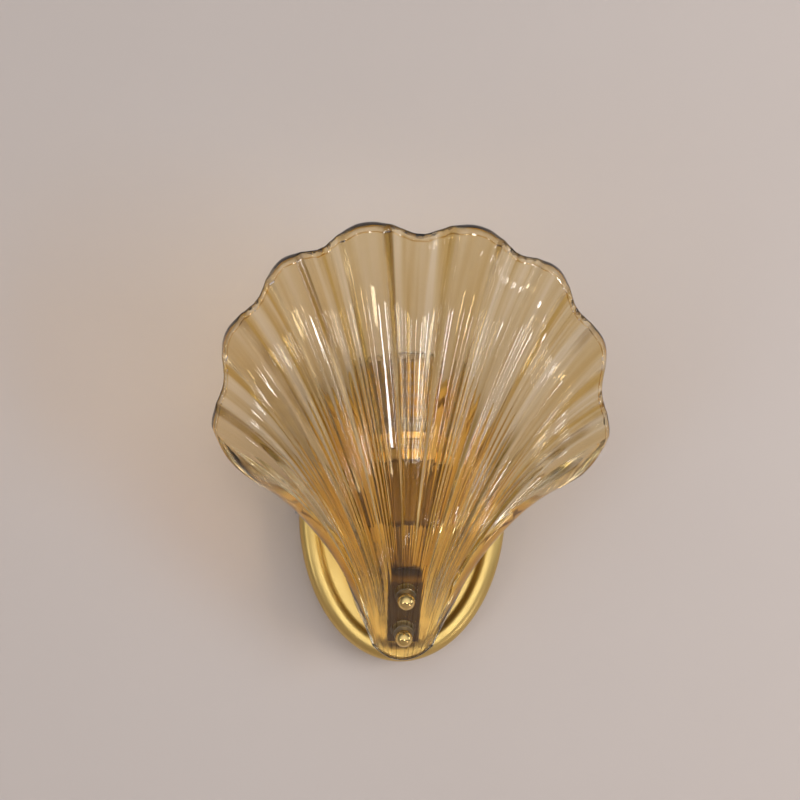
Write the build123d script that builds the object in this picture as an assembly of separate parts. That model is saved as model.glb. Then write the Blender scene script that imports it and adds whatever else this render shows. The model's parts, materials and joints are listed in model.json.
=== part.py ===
from build123d import *
import math
import os

import numpy as np

# Shell wall sconce: a pressed glass scallop shade, screwed by its neck to a bent brass strip
# that stands on an oval backplate, with a lamp holder and a lamp behind the glass.
# Millimetres. Origin: centre of the backplate's rear face on the wall. +X right, +Z up,
# and the room is on the -Y side, so a "depth" is a distance from the wall along -Y.

# ---------------------------------------------------------------- backplate
PLATE_WIDTH = 130.0
PLATE_HEIGHT = 190.0
PLATE_DEPTH = 20.0
PLATE_WALL = 1.5
BEAD_WIDTH = 12.0            # raised rounded border round the flat centre
RECESS_DEPTH = 5.0           # how far the flat centre lies behind the bead
BEAD_OUTER_ROUND = 6.5
BEAD_INNER_ROUND = 2.9
RECESS_FLOOR_ROUND = 2.0

# ---------------------------------------------------------------- wall crossbar
BAR_HEIGHT = 24.0
BAR_THICK = 1.5
BAR_TAB_HEIGHT = 16.0
BAR_TAB_LENGTH = 11.0
BAR_TAB_GAP = 0.6            # between a tab and the backplate's side wall
WALL_SLOT_SPACING = 60.0
WALL_SLOT_LENGTH = 12.0
WALL_SLOT_WIDTH = 4.6
SIDE_SCREW_DEPTH = 7.0

# ---------------------------------------------------------------- screws and nuts
M4_R = 2.0
M4_HOLE_R = 2.2
M4_TAPPED_R = 2.05
M4_HEAD_R = 3.6
M4_HEAD_H = 2.4
M4_NUT_FLATS = 7.0
M4_NUT_H = 3.2
M3_R = 1.5
M3_TAPPED_R = 1.55
M3_HEAD_R = 2.8
M3_HEAD_H = 1.8
SLOT_WIDTH = 0.9
SLOT_DEPTH = 1.1
SIDE_SCREW_LENGTH = 8.0
ARM_SCREW_TAIL = 1.0         # thread standing past its nut
EARTH_SCREW_FROM_END = 15.9  # from the crossbar's end

# ---------------------------------------------------------------- terminal block
BLOCK_WIDTH = 28.0
BLOCK_HEIGHT = 17.0
BLOCK_DEPTH = 10.5
BLOCK_WAYS = 3
WAY_PITCH = 9.3
CLAMP_OUTER_R = 2.6
CLAMP_BORE_R = 1.6
CLAMP_GAP = 0.05
TERMINAL_SCREW_R = 1.4
TERMINAL_SCREW_SPACING = 9.0

# ---------------------------------------------------------------- arm strip
ARM_WIDTH = 20.0
ARM_THICK = 3.0
ARM_BEND = 3.5               # inside radius of both bends
SHELF_TOP_Z = -31.0
FLANGE_LENGTH = 33.0         # down the backplate from the shelf's top
ARM_SCREW_SPACING = 14.0
ARM_SCREW_DROP = 11.0        # from the shelf's underside to the upper screw

# ---------------------------------------------------------------- stem, cup, lamp holder
STEM_DEPTH = 48.0            # vertical axis of the stem, holder and lamp
NIPPLE_R = 5.0
NIPPLE_BORE_R = 3.5
NIPPLE_CLEARANCE = 0.1
SLEEVE_R = 6.5
SLEEVE_CLEARANCE = 0.2
STEM_HEIGHT = 26.0           # from the shelf to the cup
NIPPLE_NUT_FLATS = 14.0
NIPPLE_NUT_H = 3.0
NIPPLE_TAIL = 1.5
ROUND_NUT_R = 6.5
CUP_R = 19.5
CUP_HEIGHT = 40.0
CUP_WALL = 0.8
CUP_BOTTOM_ROUND = 4.0
CUP_LIP_R = 0.9
WIRING_SPACE = 9.2           # between the cup's floor and the holder
HOLDER_R = 16.5
HOLDER_BELOW_RIM = 1.0
HOLDER_BASE = 15.0           # solid base of the holder
HOLDER_CAVITY_R = 14.6
NIPPLE_IN_HOLDER = 7.0
SHELL_OUTER_R = 14.2
SHELL_WALL = 0.5
SHELL_ABOVE_RIM = 6.0
SHELL_FLOOR_HOLE_R = 6.5
CONTACT_R = 4.5
CONTACT_PLATE = 1.0
CONTACT_DOME = 3.5

# ---------------------------------------------------------------- lamp (E27 cap)
THREAD_PITCH = 3.62
THREAD_ROOT_R = 12.35
THREAD_RIDGE_R = 0.8
CAP_HEIGHT = 22.0
CAP_WALL = 1.0
TIP_HEIGHT = 1.5
CAP_CONE_HEIGHT = 3.5
CAP_CONE_TIP_R = 4.8
TIP_R = 4.4
COLLAR_HEIGHT = 7.0
COLLAR_R = 18.3
LAMP_R = 19.5
COVER_WALL = 1.0
COVER_ABOVE_CORE = 5.0
COVER_ROUND = 7.0
CORE_ACROSS = 28.0           # across the flats of the eight-sided core
CORE_WALL = 1.6
CORE_HEIGHT = 37.0
CORE_SIDES = 8
CHIP_WIDTH = 3.0
CHIP_LENGTH = 5.0
CHIP_THICK = 0.8
CHIP_ROWS = 5
CHIP_ROW_PITCH = 7.0
TOP_CHIPS = 6
TOP_CHIP_CIRCLE_R = 8.0

# ---------------------------------------------------------------- cable and wires
CABLE_R = 2.0
CABLE_BEND = 12.0
CABLE_HOLE_Z = -18.0
CABLE_FROM_STEM = 11.0       # distance of its rise from the stem's axis
CABLE_TAIL_IN_PLATE = 3.0
CABLE_TAIL_IN_CUP = 4.0
WIRE_R = 0.8
WIRE_SPREAD = 1.0            # the two cores' distance from the cable's axis
WIRE_BEND = 3.5
EYE_THICK = 1.2              # flat ring at the earth wire's end
EYE_TO_WIRE = 0.3
EARTH_LOOP = 6.0             # how far the earth wire rises above the terminal block
SUPPLY_DROP = 5.5            # from the supply wires' crossing to the lamp's cable
WIRE_IN_BLOCK = 3.0
GROMMET_WALL = 1.2
GROMMET_FLANGE = 1.1
GROMMET_FLANGE_H = 1.0
GROMMET_FIT = 0.05

# ---------------------------------------------------------------- glass fixings
SHADE_SCREW_SPACING = 27.7
SHADE_SCREW_MID_Z = -57.4
STRIP_BELOW_SCREW = 9.4
BACK_WASHER_R = 7.0
BACK_WASHER_H = 1.5
FRONT_WASHER_R = 6.2
FRONT_WASHER_H = 1.0
WASHER_HOLE_R = 2.3
GLASS_HOLE_R = 2.9
SEAT_MARGIN = 0.4            # of the flat seat in the glass round each washer
BALL_R = 5.3
BALL_SEAT = 4.2              # from the washer to the ball's centre
BALL_BORE_DEPTH = 6.0
SCREW_SHORT_OF_BORE = 0.6

# ---------------------------------------------------------------- glass shade
# The shade is a half trumpet that opens upwards. A point of it is found by a rib number k,
# 0 on the centre line, 0.5, 1.5, 2.5 and 3.5 on the lobes' crests and 4 on the cut side edge,
# and by a way u along the rib, 0 at the end of the neck and 1 at the rim.
GLASS_THICK = 5.0
FAN_CENTRE_Z = 52.0
CREST_NUMBERS = (0.0, 0.5, 1.5, 2.5, 3.5)
CREST_ANGLES = (0.0, 16.5, 39.8, 63.8, 90.3)         # from straight up, about the fan's centre
FIRST_CREST_R = 127.1
SECOND_CREST_R = 129.1
THIRD_CREST_R = 127.0
LAST_CREST_R = 121.3
CREST_RADII = (FIRST_CREST_R, FIRST_CREST_R, SECOND_CREST_R, THIRD_CREST_R, LAST_CREST_R)
# how far the rim's valley floors stand out from the stem's axis
MIDDLE_REACH = 76.0
FIRST_REACH = 75.0
SECOND_REACH = 67.0
THIRD_REACH = 53.0
LAST_REACH = 33.0
RIM_DEPTHS = tuple(STEM_DEPTH + reach for reach in (MIDDLE_REACH, FIRST_REACH, SECOND_REACH, THIRD_REACH, LAST_REACH))
VALLEY_DROP = 6.9            # of the rim, below the crests beside it
CENTRE_VALLEY_DROP = 11.1
CENTRE_VALLEY_REACH = 0.35
RIM_BAND = 2.5               # the rim's front edge lies this far inside its back edge
LAST_CREST = 3.5
SIDE_EDGE = 4.0

NECK_BOTTOM_Z = -91.5
NECK_BEHIND_STEM = 8.0
NECK_BOTTOM_DEPTH = STEM_DEPTH - NECK_BEHIND_STEM
NECK_BOTTOM_HALF = 16.5
NECK_BOTTOM_CURVE = 36.0     # twice the radius of the neck's rounded end
NECK_TILT = 30.0             # the neck leans out by this much at its top
PAD_TOP_Z = -38.0
PAD_TOP_HALF = 31.5
PAD_FLAT_HALF = 12.0
PAD_SIDE_RADIUS = 35.0
PAD_SHARE = 0.25             # share of u that lies on the neck
NECK_EASE = 0.25

# how the ribs leave the neck and reach the rim: centre rib first, last crest second
LEAVE_ANGLE = (0.0, 26.0)
MIDDLE_LEAVES = 60.0
SIDE_LEAVES = 54.0
LEAVE_REACH = (MIDDLE_LEAVES, SIDE_LEAVES)
LEAVE_LEAN = (NECK_TILT, 18.0)
ARRIVE_TURN = 0.70           # share of the rim's own angle
MIDDLE_ARRIVES = 70.0
SIDE_ARRIVES = 46.0
ARRIVE_REACH = (MIDDLE_ARRIVES, SIDE_ARRIVES)
ARRIVE_FLARE = (28.0, 22.0)

SIDE_HALF_LOBE_RIM = 15.0
SIDE_HALF_LOBE_NECK = 4.0
SIDE_TURN = 72.0             # the side wall turns back by this angle
SIDE_WALL = 9.0              # straight stretch behind that turn
SIDE_ARC_SHARE = 0.75
RIM_FALLS_BACK = 0.42        # share of the last rib that the rim gives up at the side edge

LOBE_HALF = 0.27             # of the pitch between two crests
LOBE_SIDE = 0.10             # of the pitch, taken by each steep side of a lobe
LOBE_CROWN = 0.22            # share of its rise that a lobe loses from its crest to its sides
LOBE_RISE_RIM = 6.0
LOBE_RISE_NECK = 1.6
FINE_RIBS = 4                # in each valley
FINE_RISE_RIM = 1.0
FINE_RISE_NECK = 0.45
RIBS_START_CENTRE = 0.26     # the smooth pad ends here, on the centre line
RIBS_START_SIDE = 0.08
RIBS_FADE = 0.16
PAD_EDGE_RIB = 1.0           # ribs outside this one run further down the neck
STEPS_PER_PITCH = 32
SIDE_STEPS = 8
RIB_STEPS = 16
SMALL = 2e-3

# ---------------------------------------------------------------- worked out
FLAT_DEPTH = PLATE_DEPTH - RECESS_DEPTH
CAVITY_DEPTH = FLAT_DEPTH - PLATE_WALL
TILT = math.radians(NECK_TILT)
FLANGE_DEPTH = FLAT_DEPTH + ARM_THICK
SHELF_BOTTOM_Z = SHELF_TOP_Z - ARM_THICK
CUP_BOTTOM_Z = SHELF_TOP_Z + STEM_HEIGHT
CUP_TOP_Z = CUP_BOTTOM_Z + CUP_HEIGHT
CUP_FLOOR_Z = CUP_BOTTOM_Z + CUP_WALL
HOLDER_BOTTOM_Z = CUP_FLOOR_Z + WIRING_SPACE
HOLDER_TOP_Z = CUP_TOP_Z - HOLDER_BELOW_RIM
SHELL_BOTTOM_Z = HOLDER_BOTTOM_Z + HOLDER_BASE
CONTACT_TOP_Z = SHELL_BOTTOM_Z + CONTACT_PLATE + CONTACT_DOME
CONE_BOTTOM_Z = CONTACT_TOP_Z + TIP_HEIGHT
CAP_BOTTOM_Z = CONE_BOTTOM_Z + CAP_CONE_HEIGHT
CAP_TOP_Z = CAP_BOTTOM_Z + CAP_HEIGHT
COLLAR_TOP_Z = CAP_TOP_Z + COLLAR_HEIGHT
COVER_HEIGHT = CORE_HEIGHT + COVER_ABOVE_CORE
COVER_TOP_Z = COLLAR_TOP_Z + COVER_HEIGHT
EARTH_SCREW_X = PLATE_WIDTH / 2 - PLATE_WALL - BAR_TAB_GAP - EARTH_SCREW_FROM_END
CABLE_DEPTH = STEM_DEPTH - CABLE_FROM_STEM


def front(depth=0.0):
    """Sketch plane that faces the room at a depth: x to the right, y up."""
    return Plane.XZ.offset(depth)


def level(z, depth=STEM_DEPTH):
    """Sketch plane that faces up, centred on the stem's axis."""
    return Plane((0, -depth, z), x_dir=(1, 0, 0), z_dir=(0, 0, 1))


def disc(plane, radius, height, bore=0.0):
    """Round piece on a plane, with or without a bore."""
    piece = extrude(plane * Circle(radius), height)
    if bore:
        piece -= extrude(plane * Circle(bore), height)
    return piece


def hex_nut(plane, flats, height, bore):
    """Hexagon nut on a plane."""
    outline = RegularPolygon(flats / 2, 6, major_radius=False) - Circle(bore)
    return extrude(plane * outline, height)


def slotted_screw(seat, length, radius=M4_R, head_r=M4_HEAD_R, head_h=M4_HEAD_H):
    """Screw whose head stands on the seat plane and whose shank goes the other way."""
    head = extrude(seat * Circle(head_r), head_h)
    head = fillet(head.edges().sort_by(lambda e: e.center().dot(seat.z_dir))[-1], head_h * 0.4)
    shank = extrude(seat * Circle(radius), -length)
    cut = extrude(seat.offset(head_h - SLOT_DEPTH) * Rectangle(2 * head_r + 1, SLOT_WIDTH), SLOT_DEPTH + 1)
    return head + shank - cut


def group(solids):
    """Separate solids that share a node."""
    return Compound(children=list(solids))


def turned(points, plane=None):
    """Solid of revolution about the stem's axis from a closed outline of (radius, z) points."""
    axis = Axis((0, -STEM_DEPTH, 0), (0, 0, 1))
    outline = Polyline(*[(r, -STEM_DEPTH, z) for r, z in points], close=True)
    return revolve(make_face(outline), axis)


# ---------------------------------------------------------------- backplate and wall bar
def oval_edge(solid, half_height, depth):
    """The edge round an oval of a half height that lies at a depth."""
    def miss(edge):
        box = edge.bounding_box()
        return abs(box.max.Z - half_height) + abs(box.max.Y + depth) + abs(box.min.Y + depth)
    return min(solid.edges(), key=miss)


def oval_dish(inset):
    """Oval dish with a raised rounded border, drawn in by a wall's thickness on every face."""
    half_w = PLATE_WIDTH / 2 - inset
    half_h = PLATE_HEIGHT / 2 - inset
    height = PLATE_DEPTH - inset
    recess_w = PLATE_WIDTH / 2 - BEAD_WIDTH + inset
    recess_h = PLATE_HEIGHT / 2 - BEAD_WIDTH + inset
    dish = extrude(front() * Ellipse(half_w, half_h), height)
    dish -= extrude(front(height - RECESS_DEPTH) * Ellipse(recess_w, recess_h), RECESS_DEPTH)
    dish = fillet(oval_edge(dish, recess_h, height - RECESS_DEPTH), RECESS_FLOOR_ROUND + inset)
    dish = fillet(oval_edge(dish, half_h, height), BEAD_OUTER_ROUND - inset)
    return fillet(oval_edge(dish, recess_h, height), BEAD_INNER_ROUND - inset)


def arm_screw_heights():
    """Heights of the two screws that hold the arm to the backplate."""
    upper = SHELF_BOTTOM_Z - ARM_SCREW_DROP
    return (upper, upper - ARM_SCREW_SPACING)


def side_screw_planes():
    """Seats of the two side screws on the backplate, facing outwards."""
    for side in (-1, 1):
        yield Plane((side * PLATE_WIDTH / 2, -SIDE_SCREW_DEPTH, 0), x_dir=(0, 1, 0), z_dir=(side, 0, 0))


def backplate():
    plate = oval_dish(0.0) - oval_dish(PLATE_WALL)
    for z in arm_screw_heights():
        plate -= extrude(front() * Pos(0, z) * Circle(M4_HOLE_R), PLATE_DEPTH)
    plate -= extrude(front() * Pos(0, CABLE_HOLE_Z) * Circle(CABLE_R + GROMMET_WALL), PLATE_DEPTH)
    for seat in side_screw_planes():
        plate -= extrude(seat.offset(PLATE_WALL) * Circle(M4_HOLE_R), -4 * PLATE_WALL)
    return plate


def bar_half_length():
    return PLATE_WIDTH / 2 - PLATE_WALL - BAR_TAB_GAP


def wall_crossbar():
    half = bar_half_length()
    bar = extrude(front() * Rectangle(2 * half, BAR_HEIGHT), BAR_THICK)
    for side in (-1, 1):
        corner = half - BAR_THICK / 2
        bar += extrude(front() * Pos(side * corner, 0) * Rectangle(BAR_THICK, BAR_TAB_HEIGHT), BAR_TAB_LENGTH)
        outside = extrude(front() * Pos(side * half, 0) * Rectangle(2 * BAR_HEIGHT / 3, BAR_HEIGHT), BAR_THICK)
        trim = extrude(front() * Pos(side * half, 0) * Rectangle(2 * BAR_HEIGHT / 3, BAR_TAB_HEIGHT), BAR_THICK)
        bar -= outside - trim
        slot = SlotOverall(WALL_SLOT_LENGTH, WALL_SLOT_WIDTH)
        bar -= extrude(front() * Pos(side * WALL_SLOT_SPACING / 2, 0) * slot, BAR_THICK)
    for seat in side_screw_planes():
        bar -= extrude(seat * Circle(M4_TAPPED_R), -SIDE_SCREW_LENGTH)
    bar -= extrude(front() * Pos(WAY_PITCH / 2, 0) * Circle(M3_TAPPED_R), BAR_THICK)
    bar -= extrude(front() * Pos(-EARTH_SCREW_X, 0) * Circle(M3_TAPPED_R), BAR_THICK)
    return bar


# ---------------------------------------------------------------- wiring at the wall
def way_positions():
    return [(i - (BLOCK_WAYS - 1) / 2) * WAY_PITCH for i in range(BLOCK_WAYS)]


def block_middle_depth():
    return BAR_THICK + BLOCK_DEPTH / 2


def way_plane(x, z):
    """Plane across one way of the terminal block, facing up."""
    return Plane((x, -block_middle_depth(), z), x_dir=(1, 0, 0), z_dir=(0, 0, 1))


def terminal_block():
    block = extrude(front(BAR_THICK) * RectangleRounded(BLOCK_WIDTH, BLOCK_HEIGHT, 1.0), BLOCK_DEPTH)
    for x in way_positions():
        block -= extrude(way_plane(x, -BLOCK_HEIGHT) * Circle(CLAMP_OUTER_R + CLAMP_GAP), 2 * BLOCK_HEIGHT)
        for side in (-1, 1):
            spot = Pos(x, side * TERMINAL_SCREW_SPACING / 2)
            hole = Circle(TERMINAL_SCREW_R + 2 * CLAMP_GAP)
            block -= extrude(front(block_middle_depth()) * spot * hole, BLOCK_DEPTH)
    block -= extrude(front(BAR_THICK) * Pos(WAY_PITCH / 2, 0) * Circle(M3_TAPPED_R), BLOCK_DEPTH)
    return block


def terminal_clamps():
    return group(disc(way_plane(x, -BLOCK_HEIGHT / 2), CLAMP_OUTER_R, BLOCK_HEIGHT, CLAMP_BORE_R)
                 for x in way_positions())


def terminal_screws():
    screws = []
    for x in way_positions():
        for side in (-1, 1):
            seat = front(block_middle_depth() + CLAMP_OUTER_R) * Pos(x, side * TERMINAL_SCREW_SPACING / 2)
            length = BLOCK_DEPTH / 2 - CLAMP_OUTER_R
            pin = extrude(seat * Circle(TERMINAL_SCREW_R), length)
            top = front(BAR_THICK + BLOCK_DEPTH) * Pos(x, side * TERMINAL_SCREW_SPACING / 2)
            screws.append(pin - extrude(top * Rectangle(2 * TERMINAL_SCREW_R + 1, SLOT_WIDTH), -SLOT_DEPTH))
    return group(screws)


def block_screw():
    seat = front(BAR_THICK + BLOCK_DEPTH) * Pos(WAY_PITCH / 2, 0)
    return slotted_screw(Plane(seat), BLOCK_DEPTH + BAR_THICK, M3_R, TERMINAL_SCREW_R * 1.25, SLOT_DEPTH + 0.3)


def earth_screw():
    seat = front(BAR_THICK + EYE_THICK) * Pos(-EARTH_SCREW_X, 0)
    return slotted_screw(Plane(seat), BAR_THICK + EYE_THICK, M3_R, M3_HEAD_R, M3_HEAD_H)


def wire(points, radius=WIRE_R, bend=WIRE_BEND):
    """Round wire along straight runs joined by tangent arcs; points are (x, depth, z)."""
    route = FilletPolyline(*[(x, -d, z) for x, d, z in points], radius=bend)
    start = Plane(origin=route @ 0, z_dir=route % 0)
    return sweep(start * Circle(radius), path=route)


def earth_wire():
    """From an eye under the earth screw to the terminal block's first way."""
    wire_depth = BAR_THICK + WIRE_R + EYE_TO_WIRE
    x_way = way_positions()[0]
    ring = Circle(M3_HEAD_R + WIRE_R) - Circle(M3_TAPPED_R)
    eye = extrude(front(BAR_THICK) * Pos(-EARTH_SCREW_X, 0) * ring, EYE_THICK)
    loop_z = BLOCK_HEIGHT / 2 + EARTH_LOOP
    lead = wire([(-EARTH_SCREW_X, wire_depth, M3_HEAD_R + WIRE_R / 2), (-EARTH_SCREW_X, wire_depth, loop_z),
                 (x_way, block_middle_depth(), loop_z), (x_way, block_middle_depth(), BLOCK_HEIGHT / 2 - WIRE_IN_BLOCK)])
    return eye + lead


def supply_wires():
    """Live and neutral from the block's other two ways to the lamp's cable."""
    wires = []
    depth = block_middle_depth()
    for x_way, side in zip(way_positions()[1:], (-1, 1)):
        x_end = side * WIRE_SPREAD
        wires.append(wire([(x_way, depth, -BLOCK_HEIGHT / 2 + WIRE_IN_BLOCK),
                           (x_way, depth, CABLE_HOLE_Z + SUPPLY_DROP),
                           (x_end, depth, CABLE_HOLE_Z), (x_end, cable_end_depth(), CABLE_HOLE_Z)], bend=1.6))
    return group(wires)


def cable_end_depth():
    return CAVITY_DEPTH - CABLE_TAIL_IN_PLATE


def lamp_cable():
    """Sheathed cable from inside the backplate, forward and up into the cup."""
    return wire([(0, cable_end_depth(), CABLE_HOLE_Z), (0, CABLE_DEPTH, CABLE_HOLE_Z),
                 (0, CABLE_DEPTH, CUP_FLOOR_Z + CABLE_TAIL_IN_CUP)], CABLE_R, CABLE_BEND)


def grommet(plane, wall):
    """Bush that lines a hole: a barrel with a flange on each side of the sheet."""
    barrel_r = CABLE_R + GROMMET_WALL - GROMMET_FIT
    flange_r = CABLE_R + GROMMET_WALL + GROMMET_FLANGE
    bush = disc(plane, barrel_r, wall)
    bush += disc(plane, flange_r, -GROMMET_FLANGE_H)
    bush += disc(plane.offset(wall), flange_r, GROMMET_FLANGE_H)
    reach = wall + 2 * GROMMET_FLANGE_H
    return bush - extrude(plane.offset(-GROMMET_FLANGE_H) * Circle(CABLE_R + GROMMET_FIT), reach)


def plate_grommet():
    return grommet(Plane(front(CAVITY_DEPTH) * Pos(0, CABLE_HOLE_Z)), PLATE_WALL)


def cup_grommet():
    return grommet(level(CUP_BOTTOM_Z, CABLE_DEPTH), CUP_WALL)


def holder_wires():
    """The cable's two cores, from the end of its sheath into the holder's base."""
    start = CUP_FLOOR_Z + CABLE_TAIL_IN_CUP
    spots = [Plane((side * WIRE_SPREAD, -CABLE_DEPTH, start), z_dir=(0, 0, 1)) for side in (-1, 1)]
    return group(disc(spot, WIRE_R, HOLDER_BOTTOM_Z - start) for spot in spots)


# ---------------------------------------------------------------- arm
def flap_plane():
    """Front face of the arm's flap, midway between the glass screws; z is out, y is up it."""
    gap = GLASS_THICK + BACK_WASHER_H
    depth = NECK_BOTTOM_DEPTH + (SHADE_SCREW_MID_Z - NECK_BOTTOM_Z) * math.tan(TILT) - gap / math.cos(TILT)
    return Plane((0, -depth, SHADE_SCREW_MID_Z), x_dir=(1, 0, 0), z_dir=(0, -math.cos(TILT), -math.sin(TILT)))


def screw_planes(height=0.0):
    """Planes square to the two glass screws, at a height above the flap's front face."""
    flap = flap_plane().offset(height)
    return [Plane(flap * Pos(0, side * SHADE_SCREW_SPACING / 2)) for side in (-1, 1)]


def arm_strip():
    """Flat strip bent twice: flange on the backplate, shelf for the stem, flap for the glass."""
    flap = flap_plane().offset(-ARM_THICK / 2)
    shelf_z = SHELF_TOP_Z - ARM_THICK / 2
    flange_depth = FLAT_DEPTH + ARM_THICK / 2
    up = Vector(0, -math.sin(TILT), math.cos(TILT))
    corner = flap.origin + up * ((shelf_z - flap.origin.Z) / up.Z)
    end = flap.origin - up * (SHADE_SCREW_SPACING / 2 + STRIP_BELOW_SCREW)
    route = FilletPolyline((0, -flange_depth, SHELF_TOP_Z - FLANGE_LENGTH), (0, -flange_depth, shelf_z),
                           corner, end, radius=ARM_BEND + ARM_THICK / 2)
    section = Plane(origin=route @ 0, x_dir=(1, 0, 0), z_dir=route % 0)
    strip = sweep(section * Rectangle(ARM_WIDTH, ARM_THICK), path=route)
    for z in arm_screw_heights():
        strip -= extrude(front(FLAT_DEPTH) * Pos(0, z) * Circle(M4_HOLE_R), ARM_THICK)
    strip -= extrude(level(SHELF_BOTTOM_Z) * Circle(NIPPLE_R + NIPPLE_CLEARANCE), ARM_THICK)
    for seat in screw_planes():
        strip -= extrude(seat * Circle(M4_HOLE_R), -2 * ARM_THICK)
    return strip


def arm_screws():
    length = ARM_THICK + PLATE_WALL + M4_NUT_H + ARM_SCREW_TAIL
    return group(slotted_screw(Plane(front(FLANGE_DEPTH) * Pos(0, z)), length) for z in arm_screw_heights())


def arm_nuts():
    seats = [Plane(front(CAVITY_DEPTH - M4_NUT_H) * Pos(0, z)) for z in arm_screw_heights()]
    return group(hex_nut(seat, M4_NUT_FLATS, M4_NUT_H, M4_TAPPED_R) for seat in seats)


def side_screws():
    return group(slotted_screw(seat, SIDE_SCREW_LENGTH) for seat in side_screw_planes())


# ---------------------------------------------------------------- stem, cup and holder
def stem_nipple():
    bottom = SHELF_BOTTOM_Z - NIPPLE_NUT_H - NIPPLE_TAIL
    return disc(level(bottom), NIPPLE_R, HOLDER_BOTTOM_Z + NIPPLE_IN_HOLDER - bottom, NIPPLE_BORE_R)


def stem_sleeve():
    return disc(level(SHELF_TOP_Z), SLEEVE_R, STEM_HEIGHT, NIPPLE_R + SLEEVE_CLEARANCE)


def stem_nuts():
    """Hexagon nut under the shelf and round nut on the cup's floor."""
    bore = NIPPLE_R + NIPPLE_CLEARANCE / 2
    lower = hex_nut(level(SHELF_BOTTOM_Z - NIPPLE_NUT_H), NIPPLE_NUT_FLATS, NIPPLE_NUT_H, bore)
    return group([lower, disc(level(CUP_FLOOR_Z), ROUND_NUT_R, NIPPLE_NUT_H, bore)])


def socket_cup():
    outside = extrude(level(CUP_BOTTOM_Z) * Circle(CUP_R), CUP_HEIGHT)
    outside = fillet(outside.edges().sort_by(Axis.Z)[0], CUP_BOTTOM_ROUND)
    inside = extrude(level(CUP_FLOOR_Z) * Circle(CUP_R - CUP_WALL), CUP_HEIGHT)
    inside = fillet(inside.edges().sort_by(Axis.Z)[0], CUP_BOTTOM_ROUND - CUP_WALL)
    cup = outside - inside
    lip_r = CUP_R - CUP_WALL / 2
    ring = Plane((lip_r, -STEM_DEPTH, CUP_TOP_Z - CUP_LIP_R), x_dir=(1, 0, 0), z_dir=(0, -1, 0))
    cup += revolve(ring * Circle(CUP_LIP_R), Axis((0, -STEM_DEPTH, 0), (0, 0, 1)))
    cup -= extrude(level(CUP_BOTTOM_Z) * Circle(NIPPLE_R + NIPPLE_CLEARANCE), CUP_WALL)
    cup -= extrude(level(CUP_BOTTOM_Z, CABLE_DEPTH) * Circle(CABLE_R + GROMMET_WALL), CUP_WALL)
    return cup


def holder_body():
    """Insulating body of the lamp holder, screwed onto the nipple's end."""
    body = disc(level(HOLDER_BOTTOM_Z), HOLDER_R, HOLDER_TOP_Z - HOLDER_BOTTOM_Z)
    body = chamfer(body.edges().sort_by(Axis.Z)[0], 1.0)
    body -= extrude(level(SHELL_BOTTOM_Z) * Circle(HOLDER_CAVITY_R), CUP_HEIGHT)
    return body - extrude(level(HOLDER_BOTTOM_Z) * Circle(NIPPLE_R + NIPPLE_CLEARANCE / 2), NIPPLE_IN_HOLDER)


def screw_shell():
    """Brass shell that takes the lamp's cap; its floor rests on the holder's base."""
    height = CUP_TOP_Z + SHELL_ABOVE_RIM - SHELL_BOTTOM_Z
    shell = disc(level(SHELL_BOTTOM_Z), SHELL_OUTER_R, height)
    shell -= extrude(level(SHELL_BOTTOM_Z + SHELL_WALL) * Circle(SHELL_OUTER_R - SHELL_WALL), height)
    return shell - extrude(level(SHELL_BOTTOM_Z) * Circle(SHELL_FLOOR_HOLE_R), SHELL_WALL)


def centre_contact():
    """Round sprung contact in the middle of the holder's base."""
    top = CONTACT_TOP_Z - SHELL_BOTTOM_Z
    stem_r = CONTACT_R / 2
    return turned([(0, SHELL_BOTTOM_Z), (CONTACT_R, SHELL_BOTTOM_Z), (CONTACT_R, SHELL_BOTTOM_Z + CONTACT_PLATE),
                   (stem_r, SHELL_BOTTOM_Z + CONTACT_PLATE), (stem_r, SHELL_BOTTOM_Z + top), (0, SHELL_BOTTOM_Z + top)])


# ---------------------------------------------------------------- lamp
def lamp_tip():
    return disc(level(CONTACT_TOP_Z), TIP_R, TIP_HEIGHT)


def lamp_insulator():
    return turned([(0, CONE_BOTTOM_Z), (CAP_CONE_TIP_R, CONE_BOTTOM_Z), (THREAD_ROOT_R, CAP_BOTTOM_Z), (0, CAP_BOTTOM_Z)])


def lamp_cap():
    """Screw cap: a thin tube with a rounded right-hand thread."""
    tube = disc(level(CAP_BOTTOM_Z), THREAD_ROOT_R, CAP_HEIGHT, THREAD_ROOT_R - CAP_WALL)
    run = CAP_HEIGHT - 2.5 * THREAD_PITCH / 2
    helix = Helix(THREAD_PITCH, run, THREAD_ROOT_R, center=(0, -STEM_DEPTH, CAP_BOTTOM_Z + THREAD_RIDGE_R + 0.3))
    section = Plane(origin=helix @ 0, z_dir=helix % 0)
    ridge = sweep(section * Circle(THREAD_RIDGE_R), path=helix, is_frenet=True)
    return tube + ridge


def lamp_collar():
    neck_r = THREAD_ROOT_R
    return turned([(0, CAP_TOP_Z), (neck_r, CAP_TOP_Z), (neck_r + 0.8, CAP_TOP_Z + 1.0), (COLLAR_R, COLLAR_TOP_Z - 1.5),
                   (COLLAR_R, COLLAR_TOP_Z), (0, COLLAR_TOP_Z)])


def lamp_core():
    """Eight-sided board carrier, closed at the top."""
    outside = extrude(level(COLLAR_TOP_Z) * RegularPolygon(CORE_ACROSS / 2, CORE_SIDES, major_radius=False), CORE_HEIGHT)
    bore = RegularPolygon(CORE_ACROSS / 2 - CORE_WALL, CORE_SIDES, major_radius=False)
    return outside - extrude(level(COLLAR_TOP_Z) * bore, CORE_HEIGHT - CORE_WALL)


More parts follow.
